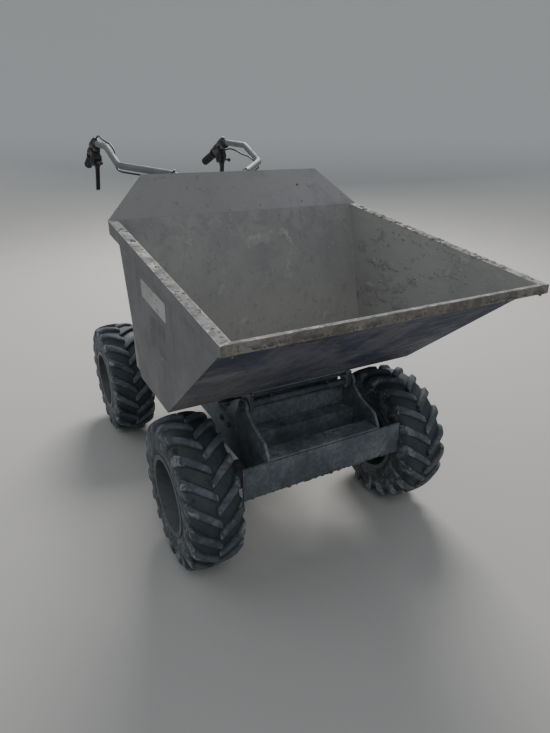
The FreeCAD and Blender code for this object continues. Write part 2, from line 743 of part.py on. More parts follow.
def make_brake_levers():
    # long blade on the right handle, short one on the left
    levers = []
    for s, reach, lean in ((1, 44.0, 0.52), (-1, 72.0, 0.95)):
        end, run = bar_end(s)
        at = end - run * clamp_back
        slope = math.degrees(math.atan2(run.z, run.y))
        root = prism_x([(-5, -50.1), (-8, -62), (12, -66), (20, -50.1)], -8, 8)
        tip = reach * lean
        blade = prism_x([(-7, -58), (tip - 4, -58 - reach), (tip + 9, -58 - reach), (11, -58)], -7, 7)
        body = root.fuse(blade)
        body.rotate(V(0, 0, 0), V(1, 0, 0), slope)
        body.translate(at)
        levers.append(body)
    return Part.makeCompound(levers)


def console_frame():
    # clamp place on the bar, unit run of the bar there, foot of the post, height along the post, lean
    a = V(*bar_points[0])
    run = (V(*bar_points[1]) - a).normalize()
    grip_at = a + run * ((console_x - a.x) / run.x)
    foot = V(console_x, deck_front + 35, deck_top)
    lean = grip_at - foot
    return grip_at, run, foot, lean.Length, -math.degrees(math.atan2(lean.y, lean.z))


def make_console():
    # two leaning posts with split clamps that hold the bar, and a cross plate between them
    grip_at, run, foot, length, tilt = console_frame()
    half = post_side / 2
    post = box(-half, half, -half, half, -20, length - 8)
    post.rotate(V(0, 0, 0), V(1, 0, 0), tilt)
    post.translate(foot)
    post = post.fuse(rod(grip_at - run * 13, grip_at + run * 13, bar_radius + 8))
    post = post.cut(rod(grip_at - run * 40, grip_at + run * 40, bar_radius + seat_gap))
    x = console_x - half + 1
    panel = box(-x, x, -3, 3, length - 230, length - 80)
    tie = box(-x, x, -10, 10, 90, 112)
    for shape in (panel, tie):
        shape.rotate(V(0, 0, 0), V(1, 0, 0), tilt)
        shape.translate(V(0, foot.y, foot.z))
    feet = [box(s * console_x - 24, s * console_x + 24, foot.y - 30, foot.y + 34, deck_top, deck_top + 6) for s in (1, -1)]
    body = joined([post, mirrored(post), panel, tie] + feet)
    return body.cut(box(-300, 300, -100, 300, 0, deck_top))


def on_console(shape):
    grip_at, run, foot, length, tilt = console_frame()
    shape.rotate(V(0, 0, 0), V(1, 0, 0), tilt)
    shape.translate(V(0, foot.y, foot.z))
    return shape


def make_control_housing():
    length = console_frame()[3]
    x = console_x - post_side / 2 - 4
    low = length - 222
    high = length - 86
    return on_console(prism_x([(3, low), (34, low + 16), (44, high - 22), (34, high), (3, high)], -x, x))


def make_gear_lever():
    high = console_frame()[3] - 86
    stem = rod(V(26, 18, high + 1), V(26, 24, high + 66), 5)
    return on_console(joined([rod_z(high, high + 5, 26, 18, 12), stem, knob(V(26, 24, high + 70), V(0, 6, 66), 14)]))


def make_throttle_lever():
    high = console_frame()[3] - 86
    plate = box(-34, -28, 10, 22, high, high + 34)
    return on_console(plate.fuse(rod_x(-38, -24, 16, high + 34, 7)))


# Control cables, held by the bar from the lever clamps to the control housing

def cord(points, radius):
    # each arc is as large as its two runs allow
    edges = []
    start = points[0]
    for a, b, c in zip(points, points[1:], points[2:]):
        u = (a - b).normalize()
        w = (c - b).normalize()
        reach = 0.45 * min((a - b).Length, (c - b).Length)
        half = u.getAngle(w) / 2
        bend = reach * math.tan(half)
        first = b + u * reach
        last = b + w * reach
        middle = b + (u + w).normalize() * (bend / math.sin(half) - bend)
        edges.append(Part.makeLine(start, first))
        edges.append(Part.Arc(first, middle, last).toShape())
        start = last
    edges.append(Part.makeLine(start, points[-1]))
    path = Part.Wire(edges)
    ring = Part.Wire(Part.makeCircle(radius, points[0], points[1] - points[0]))
    return path.makePipeShell([ring], True, True)


# Points with Y from the front of the deck
left_route = [(257, 664.9, 1008.1), (257, 635, 1022), (258, 585, 1028), (259, 528, 1021), (260, 475, 1009),
              (261, 426, 1005), (261, 380, 992), (259, 329, 971), (221, 280, 964), (175, 226, 957), (132, 172, 948),
              (100, 152, 925), (72, 140, 893), (60, 133, 868), (60, 131, 851)]
right_route = [(-258, 685.5, 1053.4), (-257.5, 656, 1063.3), (-257, 620, 1074), (-259, 572, 1077),
               (-262, 525, 1068), (-261, 485, 1061), (-249, 454, 1051), (-244, 424, 1029), (-249, 396, 1001),
               (-261, 360, 984), (-258, 325, 970), (-221, 280, 964), (-175, 226, 957), (-132, 172, 948),
               (-100, 152, 925), (-72, 140, 893), (-60, 133, 868), (-60, 131, 851)]


def make_control_cables():
    return Part.makeCompound([cord([V(x, deck_front + y, z) for x, y, z in route], cable_radius)
                              for route in (left_route, right_route)])


for name, side, x, y, phase in corners:
    save(make_rim(side, x, y), "rim_" + name)
    save(make_hub(side, x, y), "hub_" + name)
    save(make_tyre(side, x, y, phase), "tyre_" + name)
save(make_axle(front_x, front_y), "front_axle")
save(make_axle(rear_x, rear_y), "rear_axle")
save(make_skip(), "skip")
save(make_hinge_pin(), "hinge_pin")
save(make_chassis(), "chassis")
save(make_rest_pads(), "rest_pads")
save(make_axle_clamps(), "axle_clamps")
save(make_catch_lever(), "catch_lever")
save(make_gearbox(), "gearbox")
save(make_drive_shaft(front_y + casing_radius + 7, gearbox_y0 - gearbox_neck), "front_drive_shaft")
save(make_drive_shaft(gearbox_y1 + gearbox_neck, rear_y - casing_radius - 7), "rear_drive_shaft")
save(make_engine(), "engine")
save(make_starter_cover(), "starter_cover")
save(make_pull_handle(), "pull_handle")
save(make_fuel_tank(), "fuel_tank")
save(make_fuel_cap(), "fuel_cap")
save(make_carburettor(), "carburettor")
save(make_air_cleaner(), "air_cleaner")
save(make_silencer(), "silencer")
save(make_belt_guard(), "belt_guard")
save(make_handlebar(), "handlebar")
save(make_grips(), "grips")
save(make_lever_clamps(), "lever_clamps")
save(make_brake_levers(), "brake_levers")
save(make_console(), "console")
save(make_control_housing(), "control_housing")
save(make_gear_lever(), "gear_lever")
save(make_throttle_lever(), "throttle_lever")
save(make_control_cables(), "control_cables")
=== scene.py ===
import bpy
import bmesh
import math
import random
from mathutils import Matrix, Vector, noise


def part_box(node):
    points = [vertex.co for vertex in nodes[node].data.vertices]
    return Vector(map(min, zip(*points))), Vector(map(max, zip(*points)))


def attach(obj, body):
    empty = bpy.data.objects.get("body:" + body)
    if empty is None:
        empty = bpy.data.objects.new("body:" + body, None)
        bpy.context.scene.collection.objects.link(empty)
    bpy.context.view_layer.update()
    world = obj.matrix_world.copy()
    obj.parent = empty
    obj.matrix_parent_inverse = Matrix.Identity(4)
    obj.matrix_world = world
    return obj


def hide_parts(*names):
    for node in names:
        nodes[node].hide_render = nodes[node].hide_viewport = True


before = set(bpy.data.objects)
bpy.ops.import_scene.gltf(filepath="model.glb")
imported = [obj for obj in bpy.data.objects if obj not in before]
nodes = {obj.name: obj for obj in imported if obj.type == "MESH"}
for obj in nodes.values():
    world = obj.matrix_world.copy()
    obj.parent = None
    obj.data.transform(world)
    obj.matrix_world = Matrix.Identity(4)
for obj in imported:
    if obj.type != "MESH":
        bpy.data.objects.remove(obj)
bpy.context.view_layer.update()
scene = bpy.context.scene

# Lengths are in mm on the part's own drawing, where Y starts 42 mm ahead of the file's origin
BACK = 42.0
FRONT_Y, REAR_Y, AXLE_Z = -390.0, 425.0, 209.0
WHEELS = (("front_left", 1, 328.0, FRONT_Y), ("front_right", -1, 328.0, FRONT_Y),
          ("rear_left", 1, 314.0, REAR_Y), ("rear_right", -1, 314.0, REAR_Y))
HINGE_Y, HINGE_Z = -398.0, 424.0
FLOOR_FRONT, FLOOR_REAR, FLOOR_Z = -405.0, -165.0, 460.6
RIM_FRONT, RIM_FRONT_Z = -802.0, 778.0
RIM_REAR, RIM_REAR_Z = -66.0, 877.0
WALL_IN, WALL_OUT = 373.6, 378.0
FLANK_SEAM, HEM_Y = 377.6, -807.0
PLATE_IN, LEDGE_Z, DECK = 167.4, 340.0, 351.0
ENGINE_Y, CRANK_Z = 365.0, 463.0
BAR = [(70, 110, 925), (128, 187, 967), (259, 349, 989.5), (263, 479, 1042), (259, 640, 1050), (256, 881, 969)]
UP = (0, 0, 1)


def at(x, y, z):
    return Vector((x, y - BACK, z)) / 1000


# Camera, floor and lights

PHOTO_HEIGHT, FOCAL = 733.0, 533.4
SENSOR = 36.0
cam = bpy.data.cameras.new("camera")
camera = bpy.data.objects.new("camera", cam)
scene.collection.objects.link(camera)
camera.location = (-0.6953, -1.5823, 1.090)
look = Vector((0.43525, 0.80523, -0.40268))
camera.rotation_euler = look.to_track_quat("-Z", "Y").to_euler()
cam.sensor_fit = "VERTICAL"
cam.sensor_height = SENSOR
cam.lens = FOCAL * SENSOR / PHOTO_HEIGHT
scene.camera = camera


def area_light(name, place, to, size, power, colour):
    light = bpy.data.lights.new(name, "AREA")
    light.shape = "RECTANGLE"
    light.size, light.size_y = size
    light.energy = power
    light.color = colour
    obj = bpy.data.objects.new(name, light)
    obj.location = place
    obj.rotation_euler = (Vector(to) - Vector(place)).to_track_quat("-Z", "Y").to_euler()
    scene.collection.objects.link(obj)


area_light("window_light", (2.1, 3.3, 3.9), (0, 0, 0.5), (2.6, 1.8), 300, (1.0, 0.985, 0.95))
area_light("left_window", (-3.4, 1.8, 3.0), (0, 0, 0.4), (2.4, 2.0), 16, (0.95, 0.98, 1.0))
area_light("front_fill", (-1.0, -3.4, 3.6), (0, 0, 0.4), (2.6, 2.2), 30, (0.98, 0.98, 1.0))
world = bpy.data.worlds.new("studio")
scene.world = world
world.use_nodes = True
sky = world.node_tree.nodes["Background"]
sky.inputs["Color"].default_value = (0.85, 0.93, 1.0, 1)
sky.inputs["Strength"].default_value = 0.40


# Small graph builder for procedural materials

class Graph:
    def __init__(self, name, metallic=0.0, specular=0.5):
        self.mat = bpy.data.materials.new(name)
        self.mat.use_nodes = True
        self.tree = self.mat.node_tree
        self.shader = self.tree.nodes["Principled BSDF"]
        self.shader.inputs["Metallic"].default_value = metallic
        self.shader.inputs["Specular IOR Level"].default_value = specular
        coords = self.new("ShaderNodeTexCoord")
        self.at = coords.outputs["Object"]
        self.normal = coords.outputs["Normal"]

    def new(self, kind):
        return self.tree.nodes.new(kind)

    def put(self, socket, value):
        if isinstance(value, bpy.types.NodeSocket):
            self.tree.links.new(value, socket)
        elif isinstance(value, tuple) and len(value) == 3 and socket.type == "RGBA":
            socket.default_value = value + (1,)
        else:
            socket.default_value = value

    def stretch(self, scale, turn=(0, 0, 0)):
        node = self.new("ShaderNodeMapping")
        self.put(node.inputs["Vector"], self.at)
        node.inputs["Scale"].default_value = scale
        node.inputs["Rotation"].default_value = turn
        return node.outputs["Vector"]

    def noise(self, scale, detail=4.0, rough=0.55, twist=0.0, at=None):
        node = self.new("ShaderNodeTexNoise")
        self.put(node.inputs["Vector"], at or self.at)
        for key, v in (("Scale", scale), ("Detail", detail), ("Roughness", rough), ("Distortion", twist)):
            node.inputs[key].default_value = v
        return node.outputs["Fac"]

    def cells(self, scale):
        node = self.new("ShaderNodeTexVoronoi")
        self.put(node.inputs["Vector"], self.at)
        node.inputs["Scale"].default_value = scale
        return node.outputs["Distance"]

    def ramp(self, value, low, high, to_low=0.0, to_high=1.0):
        node = self.new("ShaderNodeMapRange")
        node.interpolation_type = "SMOOTHSTEP"
        self.put(node.inputs["Value"], value)
        for key, v in (("From Min", low), ("From Max", high), ("To Min", to_low), ("To Max", to_high)):
            node.inputs[key].default_value = v
        return node.outputs["Result"]

    def spots(self, low, high, *shape):
        # noise cut to soft-edged spots between two levels
        return self.ramp(self.noise(*shape), low, high)

    def math(self, op, a, b=0.0, clamp=False):
        node = self.new("ShaderNodeMath")
        node.operation = op
        node.use_clamp = clamp
        self.put(node.inputs[0], a)
        self.put(node.inputs[1], b)
        return node.outputs["Value"]

    def times(self, *values):
        out = values[0]
        for v in values[1:]:
            out = self.math("MULTIPLY", out, v)
        return out

    def add(self, a, b):
        return self.math("ADD", a, b)

    def scaled(self, value, by, plus):
        return self.add(self.times(value, by), plus)

    def abs(self, value):
        return self.math("ABSOLUTE", value)

    def mix(self, a, b, factor):
        node = self.new("ShaderNodeMix")
        node.data_type = "RGBA"
        self.put(node.inputs["Factor"], factor)
        self.put(node.inputs["A"], a)
        self.put(node.inputs["B"], b)
        return node.outputs["Result"]

    def lay(self, under, over, mask, share):
        return self.mix(under, over, self.times(mask, share))

    def split(self, source):
        node = self.new("ShaderNodeSeparateXYZ")
        self.put(node.inputs["Vector"], source)
        return node.outputs

    def finish(self, colour, rough, height, distance, strength):
        self.put(self.shader.inputs["Base Color"], colour)
        self.put(self.shader.inputs["Roughness"], rough)
        node = self.new("ShaderNodeBump")
        node.inputs["Strength"].default_value = strength
        node.inputs["Distance"].default_value = distance
        self.put(node.inputs["Height"], height)
        self.put(self.shader.inputs["Normal"], node.outputs["Normal"])
        return self.mat


def shade(colour, by, plus=0.0):
    return tuple(c * by + plus for c in colour)


def dusty(g, low=-0.15, high=0.9, reach=0.75):
    # 0..1 mask of settled dust: most on faces that look up, broken up by noise
    settled = g.ramp(g.split(g.normal)[2], low, high)
    cloud = g.spots(0.36, 0.68, 9.0, 6.0, 0.62)
    fine = g.spots(0.34, 0.66, 70.0, 5.0, 0.7)
    both = g.times(g.scaled(settled, 0.75, 0.25), g.scaled(cloud, 0.7, 0.3))
    return g.math("MULTIPLY", both, g.scaled(fine, reach * 0.5, reach * 0.5), clamp=True)


def painted(name, base, worn, dust, amount=0.75, rough=0.55, crust=0.35, low=-0.15):
    g = Graph(name)
    colour = g.mix(base, shade(base, 0.62), g.spots(0.35, 0.7, 14.0, 6.0, 0.6))
    chips = g.spots(0.63, 0.67, 52.0, 7.0, 0.72, 0.4)
    colour = g.lay(colour, worn, chips, 0.7)
    mask = dusty(g, low, 0.9, amount)
    colour = g.mix(colour, dust, mask)
    # thin splashes of dried mortar
    splash = g.times(g.spots(0.58, 0.66, 34.0, 7.0, 0.75, 0.6), g.spots(0.42, 0.62, 4.0, 2.0))
    colour = g.lay(colour, shade(dust, 1.35), splash, crust)
    rough_out = g.ramp(g.math("MAXIMUM", mask, splash), 0.0, 0.8, rough, 0.92)
    height = g.add(g.times(g.noise(160.0, 5.0, 0.7), 0.5), g.times(mask, 0.8))
    height = g.add(height, g.times(splash, 0.9))
    return g.finish(colour, rough_out, height, 0.0009, 0.7)


def skip_steel():
    g = Graph("skip_steel", specular=0.35)
    x, y, z = g.split(g.at)
    nx, ny, nz = g.split(g.normal)
    big = g.spots(0.32, 0.70, 2.6, 6.0, 0.6, 0.4)
    mid = g.spots(0.34, 0.68, 13.0, 8.0, 0.68, 0.3)
    # inside: warm grey cement film, mottled; painted shade darkens the rear wall just under its bend
    colour = g.mix((0.272, 0.266, 0.258), (0.345, 0.338, 0.322), big)
    colour = g.lay(colour, (0.215, 0.210, 0.212), mid, 0.5)
    wall = g.ramp(ny, -0.75, -0.93)
    # painted shade: mottled darkening of the rear wall just under the bend
    stain = g.times(wall, g.ramp(z, 0.72, 0.85), g.spots(0.44, 0.60, 20.0, 8.0, 0.75, 0.5))
    colour = g.lay(colour, (0.190, 0.187, 0.196), stain, 0.45)
    runs = g.times(wall, g.spots(0.46, 0.66, 3.4, 6.0, 0.62, 0.6, g.stretch((2.6, 2.6, 0.9))))
    colour = g.lay(colour, (0.385, 0.376, 0.352), runs, 0.12)
    colour = g.lay(colour, (0.360, 0.346, 0.312), g.times(wall, g.ramp(z, 0.72, 0.54)), 0.6)
    speck = g.times(wall, g.spots(0.56, 0.64, 55.0, 6.0, 0.7, 0.3, g.stretch((1.0, 1.0, 0.6))))
    colour = g.lay(colour, (0.185, 0.182, 0.188), speck, 0.4)
    # painted light: the backboard above the bend is made lighter than the wall, more so towards the right
    board = g.times(g.ramp(z, 0.874, 0.880), g.ramp(ny, -0.5, -0.7))
    board_painted_light = g.mix((0.262, 0.258, 0.250), (0.345, 0.325, 0.335), g.ramp(x, -0.15, 0.25))
    colour = g.lay(colour, board_painted_light, board, 0.8)
    colour = g.lay(colour, (0.235, 0.228, 0.228), g.times(board, g.spots(0.46, 0.62, 9.0, 8.0, 0.7, 0.4)), 0.55)
    colour = g.lay(colour, (0.150, 0.146, 0.150), g.times(board, g.spots(0.60, 0.66, 48.0, 6.0, 0.7)), 0.6)
    # outside: cool grey, with soft scuffs
    upright = g.ramp(g.abs(nx), 0.7, 0.95)
    sides = g.times(upright, g.ramp(g.abs(x), 0.3765, 0.3775))
    sides = g.math("MAXIMUM", sides, g.ramp(ny, 0.45, 0.75))
    colour = g.mix(colour, g.mix((0.160, 0.158, 0.165), (0.195, 0.192, 0.198), big), sides)
    scuff = g.spots(0.52, 0.66, 9.0, 7.0, 0.7, 0.9, g.stretch((1.0, 2.2, 0.7), (0.5, 0, 0)))
    colour = g.lay(colour, (0.105, 0.102, 0.108), g.times(sides, scuff), 0.34)
    film = g.times(sides, g.spots(0.48, 0.66, 6.0, 7.0, 0.68, 0.3, g.stretch((1.0, 1.0, 0.45))))
    colour = g.lay(colour, (0.232, 0.228, 0.230), film, 0.45)
    # a rubbed patch low on one flank
    along = g.ramp(g.abs(g.add(y, 0.412)), 0.066, 0.058)
    tall = g.ramp(g.abs(g.math("SUBTRACT", z, 0.646)), 0.046, 0.038)
    rubbed = g.times(g.ramp(x, -0.2, -0.3), sides, upright, along, tall, g.spots(0.36, 0.58, 26.0, 6.0, 0.7))
    colour = g.lay(colour, (0.092, 0.078, 0.084), rubbed, 0.5)
    # underneath: a dark bluish film that is painted shade, with scrapes and patches of old mortar
    under = g.times(g.ramp(nz, -0.25, -0.55), g.ramp(ny, 0.35, 0.05))
    cloud = g.spots(0.40, 0.60, 5.5, 8.0, 0.72, 0.5, g.stretch((1.0, 1.2, 1.2), (0.0, 0.0, 0.6)))
    # painted shade as the mottled base colour of the underside
    underside_shade_and_grime = g.mix((0.048, 0.058, 0.094), (0.142, 0.144, 0.172), cloud)
    caked = g.spots(0.52, 0.64, 7.0, 8.0, 0.72, 0.5, g.stretch((1.0, 1.8, 1.8)))
    low_left = g.times(g.ramp(x, 0.05, -0.36), g.ramp(z, 0.76, 0.50))
    broken = g.ramp(g.noise(16.0, 8.0, 0.75, 0.4), 0.38, 0.62, 0.25, 0.75)
    underside_shade_and_grime = g.mix(underside_shade_and_grime, (0.250, 0.236, 0.226), g.times(g.math("MAXIMUM", caked, low_left), broken))
    scrape = g.spots(0.60, 0.70, 9.0, 6.0, 0.8, 0.2, g.stretch((0.6, 6.0, 6.0), (0.0, 0.0, 0.5)))
    underside_shade_and_grime = g.lay(underside_shade_and_grime, (0.200, 0.195, 0.195), scrape, 0.35)
    colour = g.mix(colour, underside_shade_and_grime, under)
    # painted shade: every face of the skip below its floor, rails and lugs, made nearly black
    rails_painted_shade = g.mix((0.030, 0.046, 0.060), (0.085, 0.092, 0.105), g.spots(0.4, 0.62, 18.0, 7.0, 0.7))
    colour = g.mix(colour, rails_painted_shade, g.ramp(z, 0.4605, 0.4590))
    # splashes: dots of dried mortar and dark pits
    dots = g.times(g.ramp(g.cells(150.0), 0.30, 0.16), g.spots(0.52, 0.64, 14.0, 4.0, 0.6))
    colour = g.lay(colour, (0.40, 0.39, 0.37), dots, 0.3)
    pits = g.times(g.ramp(g.cells(42.0), 0.075, 0.045), g.spots(0.50, 0.60, 5.0, 3.0))
    colour = g.lay(colour, (0.038, 0.035, 0.034), pits, 0.85)
    # mortar patches on the flanks inside
    inner = g.times(upright, g.ramp(g.abs(x), 0.3765, 0.3745))
    flank = g.times(inner, g.spots(0.48, 0.66, 13.0, 7.0, 0.66, 0.3, g.stretch((1.0, 0.8, 1.5))))
    cement = g.times(inner, g.ramp(g.noise(6.0, 5.0), 0.3, 0.6, 0.45, 0.85))
    colour = g.mix(colour, (0.385, 0.378, 0.362), cement)
    # crust along the top of the rim, brown film on the hem in front
    over = g.math("SUBTRACT", z, g.scaled(y, 0.13451, 0.8915))
    top = g.times(g.ramp(g.abs(over), 0.014, 0.002), g.ramp(nz, 0.55, 0.9))
    crust = g.times(top, g.spots(0.34, 0.55, 34.0, 7.0, 0.74))
    colour = g.lay(colour, (0.42, 0.41, 0.385), crust, 0.8)
    hem = g.times(g.ramp(ny, -0.8, -0.95), g.ramp(y, -0.840, -0.846))
    brown = g.mix((0.125, 0.105, 0.088), (0.235, 0.215, 0.19), g.spots(0.4, 0.6, 30.0, 8.0, 0.75))
    colour = g.mix(colour, brown, hem)
    height = g.add(g.times(g.noise(210.0, 5.0, 0.75), 0.4), g.times(dots, 0.8))
    height = g.add(height, g.times(g.noise(30.0, 7.0, 0.68), 0.9))
    height = g.add(height, g.add(g.times(flank, 0.6), crust))
    height = g.add(height, g.times(under, caked, 1.5))
    height = g.math("SUBTRACT", height, g.times(pits, 1.6))
    return g.finish(colour, g.ramp(mid, 0.0, 1.0, 0.80, 0.62), height, 0.0016, 0.75)


def mortar(name, pale, dark, foot=None):
    g = Graph(name, specular=0.25)
    colour = g.mix(dark, pale, g.spots(0.34, 0.66, 38.0, 8.0, 0.72))
    # painted shade: below the foot height the crust darkens towards its lower edge
    if foot:
        colour = g.mix(colour, shade(dark, 0.42), g.ramp(g.split(g.at)[2], foot + 0.012, foot, 0.0, 0.7))
    colour = g.lay(colour, shade(dark, 0.45), g.spots(0.56, 0.66, 120.0, 5.0, 0.7), 0.6)
    height = g.add(g.noise(170.0, 8.0, 0.78), g.times(g.noise(46.0, 5.0, 0.6), 1.4))
    return g.finish(colour, g.ramp(g.noise(60.0, 3.0), 0.2, 0.8, 0.86, 0.97), height, 0.0016, 0.9)


def rubber(name, dust, amount):
    g = Graph(name, specular=0.35)
    mask = dusty(g, -0.6, 0.9, amount)
    patch = g.spots(0.42, 0.66, 26.0, 7.0, 0.68, 0.4)
    mask = g.math("MAXIMUM", mask, g.times(patch, amount * 0.8))
    colour = g.mix((0.022, 0.024, 0.026), dust, mask)
    height = g.add(g.times(g.noise(120.0, 6.0, 0.7), 0.7), mask)
    return g.finish(colour, g.ramp(mask, 0.0, 0.8, 0.62, 0.95), height, 0.001, 0.7)


def tread_rubber():
    # the mesh's own mask: red is the height on the lug, green the sidewall, blue the end of a lug
    g = Graph("tread_rubber", specular=0.4)
    wear = g.new("ShaderNodeAttribute")
    wear.attribute_name = "wear"
    node = g.new("ShaderNodeSeparateColor")
    g.put(node.inputs["Color"], wear.outputs["Color"])
    high, wall, end = node.outputs
    cloud = g.spots(0.34, 0.66, 11.0, 7.0, 0.66, 0.3)
    colour = g.mix((0.012, 0.016, 0.020), (0.026, 0.034, 0.041), g.spots(0.36, 0.64, 85.0, 7.0, 0.75))
    film = g.times(g.scaled(cloud, 0.42, 0.16), g.scaled(high, 0.62, 0.38))
    colour = g.mix(colour, (0.150, 0.178, 0.204), film)
    place = g.math("ADD", g.times(wall, 0.55), g.times(end, 0.75), clamp=True)
    smear = g.times(g.spots(0.47, 0.575, 27.0, 9.0, 0.80, 0.9), place)
    colour = g.lay(colour, (0.325, 0.340, 0.352), smear, 0.9)
    groove = g.times(g.ramp(high, 0.35, 0.05), g.ramp(wall, 0.5, 0.2), g.spots(0.42, 0.62, 17.0, 6.0, 0.7))
    colour = g.lay(colour, (0.060, 0.062, 0.062), groove, 0.5)
    height = g.add(g.times(g.noise(95.0, 7.0, 0.72), 0.9), g.times(smear, 0.9))
    return g.finish(colour, g.ramp(g.add(film, smear), 0.0, 0.9, 0.55, 0.93), height, 0.0012, 0.75)


def plain_plastic(name, base, rough, dust):
    g = Graph(name)
    mask = dusty(g, 0.0, 0.95, dust)
    colour = g.mix(base, shade(base, 1.8, 0.004), g.spots(0.4, 0.75, 30.0, 5.0))
    colour = g.mix(colour, (0.19, 0.175, 0.155), mask)
    return g.finish(colour, g.ramp(mask, 0.0, 0.7, rough, 0.9), g.noise(380.0, 3.0, 0.6), 0.0004, 0.6)


def metal(name, base, rough, stain, amount):
    g = Graph(name, metallic=0.85)
    rust = g.times(g.spots(0.45, 0.7, 24.0, 7.0, 0.7), amount)
    colour = g.mix(g.mix(base, shade(base, 0.6), g.spots(0.35, 0.7, 60.0, 4.0)), stain, rust)
    return g.finish(colour, g.ramp(rust, 0.0, 0.5, rough, 0.85), g.noise(240.0, 5.0, 0.7), 0.0005, 0.6)


def pale_label():
    g = Graph("label_film", specular=0.4)
    scratch = g.spots(0.57, 0.64, 34.0, 7.0, 0.75, 0.5, g.stretch((1.0, 1.0, 2.2)))
    colour = g.mix((0.40, 0.40, 0.40), (0.30, 0.30, 0.30), g.spots(0.35, 0.65, 12.0, 4.0))
    colour = g.lay(colour, (0.13, 0.125, 0.13), scratch, 0.65)
    return g.finish(colour, g.ramp(scratch, 0.0, 1.0, 0.45, 0.8), g.noise(160.0, 5.0, 0.7), 0.0004, 0.6)


DUST, RIM_DUST = (0.215, 0.205, 0.19), (0.17, 0.175, 0.175)
MATS = {
    "skip": skip_steel(),
    "teal": painted("teal_paint", (0.024, 0.048, 0.062), (0.12, 0.11, 0.10), (0.275, 0.292, 0.315), 1.0, 0.6, 0.2, -1.6),
    "axle": painted("axle_paint", (0.020, 0.034, 0.044), (0.10, 0.08, 0.06), (0.200, 0.210, 0.22), 0.8, 0.6, low=-0.9),
    "rim": painted("rim_paint", (0.085, 0.096, 0.104), (0.05, 0.04, 0.035), RIM_DUST, 0.6, 0.5, low=-0.6),
    # painted highlight: the rolled edges of the rim are a lighter copy of the rim paint
    "rimedge": painted("rim_edge_painted_highlight", (0.20, 0.215, 0.22), (0.09, 0.07, 0.06), RIM_DUST, 0.5, 0.42),
    "tyre": rubber("tyre_rubber", (0.16, 0.155, 0.14), 0.6),
    "tread": tread_rubber(),
    "pad": rubber("pad_rubber", (0.20, 0.19, 0.17), 0.4),
    "bar": painted("bar_paint", (0.150, 0.158, 0.172), (0.24, 0.24, 0.24), (0.25, 0.25, 0.245), 0.5, 0.5, 0.12, -0.8),
    "grip": plain_plastic("grip_rubber", (0.011, 0.011, 0.013), 0.62, 0.2),
    "black": plain_plastic("black_plastic", (0.010, 0.010, 0.012), 0.42, 0.25),
    "blackpaint": painted("black_paint", (0.014, 0.014, 0.016), (0.11, 0.10, 0.09), DUST, 0.42, 0.35, 0.15),
    "alloy": metal("cast_alloy", (0.40, 0.40, 0.40), 0.45, (0.10, 0.085, 0.07), 0.55),
    "iron": painted("cast_iron", (0.075, 0.082, 0.085), (0.13, 0.09, 0.06), DUST, 0.5, 0.55),
    "steel": metal("bare_steel", (0.30, 0.29, 0.28), 0.38, (0.09, 0.055, 0.035), 0.7),
    "zinc": metal("zinc_plate", (0.46, 0.45, 0.42), 0.33, (0.16, 0.11, 0.07), 0.55),
    "hot": metal("heated_steel", (0.26, 0.23, 0.20), 0.5, (0.12, 0.06, 0.035), 0.8),
    "weld": painted("weld_bead", (0.040, 0.058, 0.066), (0.13, 0.11, 0.09), DUST, 0.7, 0.5),
    "crust": mortar("dried_mortar", (0.375, 0.368, 0.352), (0.185, 0.180, 0.172)),
    # its foot height paints shade along the lower edge of the hem crust
    "hemcrust": mortar("brown_mortar", (0.236, 0.230, 0.222), (0.138, 0.133, 0.129), 0.7610),
    "inside": mortar("inside_mortar", (0.385, 0.378, 0.358), (0.292, 0.286, 0.276)),
    # painted shade: the mortar under the slope is a darker, bluish copy of the mortar
    "under": mortar("under_mortar_painted_shade", (0.190, 0.186, 0.186), (0.105, 0.105, 0.115)),
    "mud": mortar("dried_mud", (0.165, 0.165, 0.165), (0.098, 0.098, 0.100)),
    "rubbermud": mortar("tread_mud", (0.085, 0.084, 0.080), (0.040, 0.040, 0.039)),
    "label": pale_label(),
}
SIDES = [wheel for wheel, side, wx, wy in WHEELS]
FINISH = {
    "skip": ["skip"],
    "teal": ["chassis", "belt_guard", "console", "control_housing"],
    "axle": ["hinge_pin", "axle_clamps", "front_axle", "rear_axle"] + ["hub_" + s for s in SIDES],
    "rim": ["rim_" + s for s in SIDES],
    "tyre": ["tyre_" + s for s in SIDES],
    "pad": ["rest_pads"],
    "iron": ["gearbox", "front_drive_shaft", "rear_drive_shaft"],
    "alloy": ["engine", "carburettor"],
    "blackpaint": ["starter_cover", "fuel_tank", "catch_lever", "gear_lever"],
    "hot": ["silencer"],
    "bar": ["handlebar"],
    "grip": ["grips"],
    "black": ["lever_clamps", "brake_levers", "pull_handle", "fuel_cap", "air_cleaner", "control_cables"],
    "steel": ["throttle_lever"],
}
for key, names in FINISH.items():
    for name in names:
        slots = nodes[name].data.materials
        if not slots:
            slots.append(MATS[key])
        for i in range(len(slots)):
            slots[i] = MATS[key]

# edges of the plates and castings are broken by a small round
EDGES = {
    0.0010: ["catch_lever"],
    0.0011: ["skip", "chassis"],
    0.0012: ["axle_clamps"],
    0.0014: ["console"],
    0.0015: ["rest_pads", "silencer", "carburettor"],
    0.0016: ["starter_cover"],
    0.0018: ["brake_levers"],
    0.0020: ["gearbox", "belt_guard", "front_axle", "rear_axle"],
    0.0022: ["lever_clamps"],
    0.0030: ["control_housing", "fuel_tank", "air_cleaner"],
}
for width, names in EDGES.items():
    for name in names:
        soft = nodes[name].modifiers.new("edge", "BEVEL")
        soft.width = width
        soft.segments = 2
        soft.limit_method = "ANGLE"
        soft.angle_limit = math.radians(38)
        soft.harden_normals = True


# Mesh helpers

def circle(steps, extra=0):
    return [2 * math.pi * i / steps for i in range(steps + extra)]


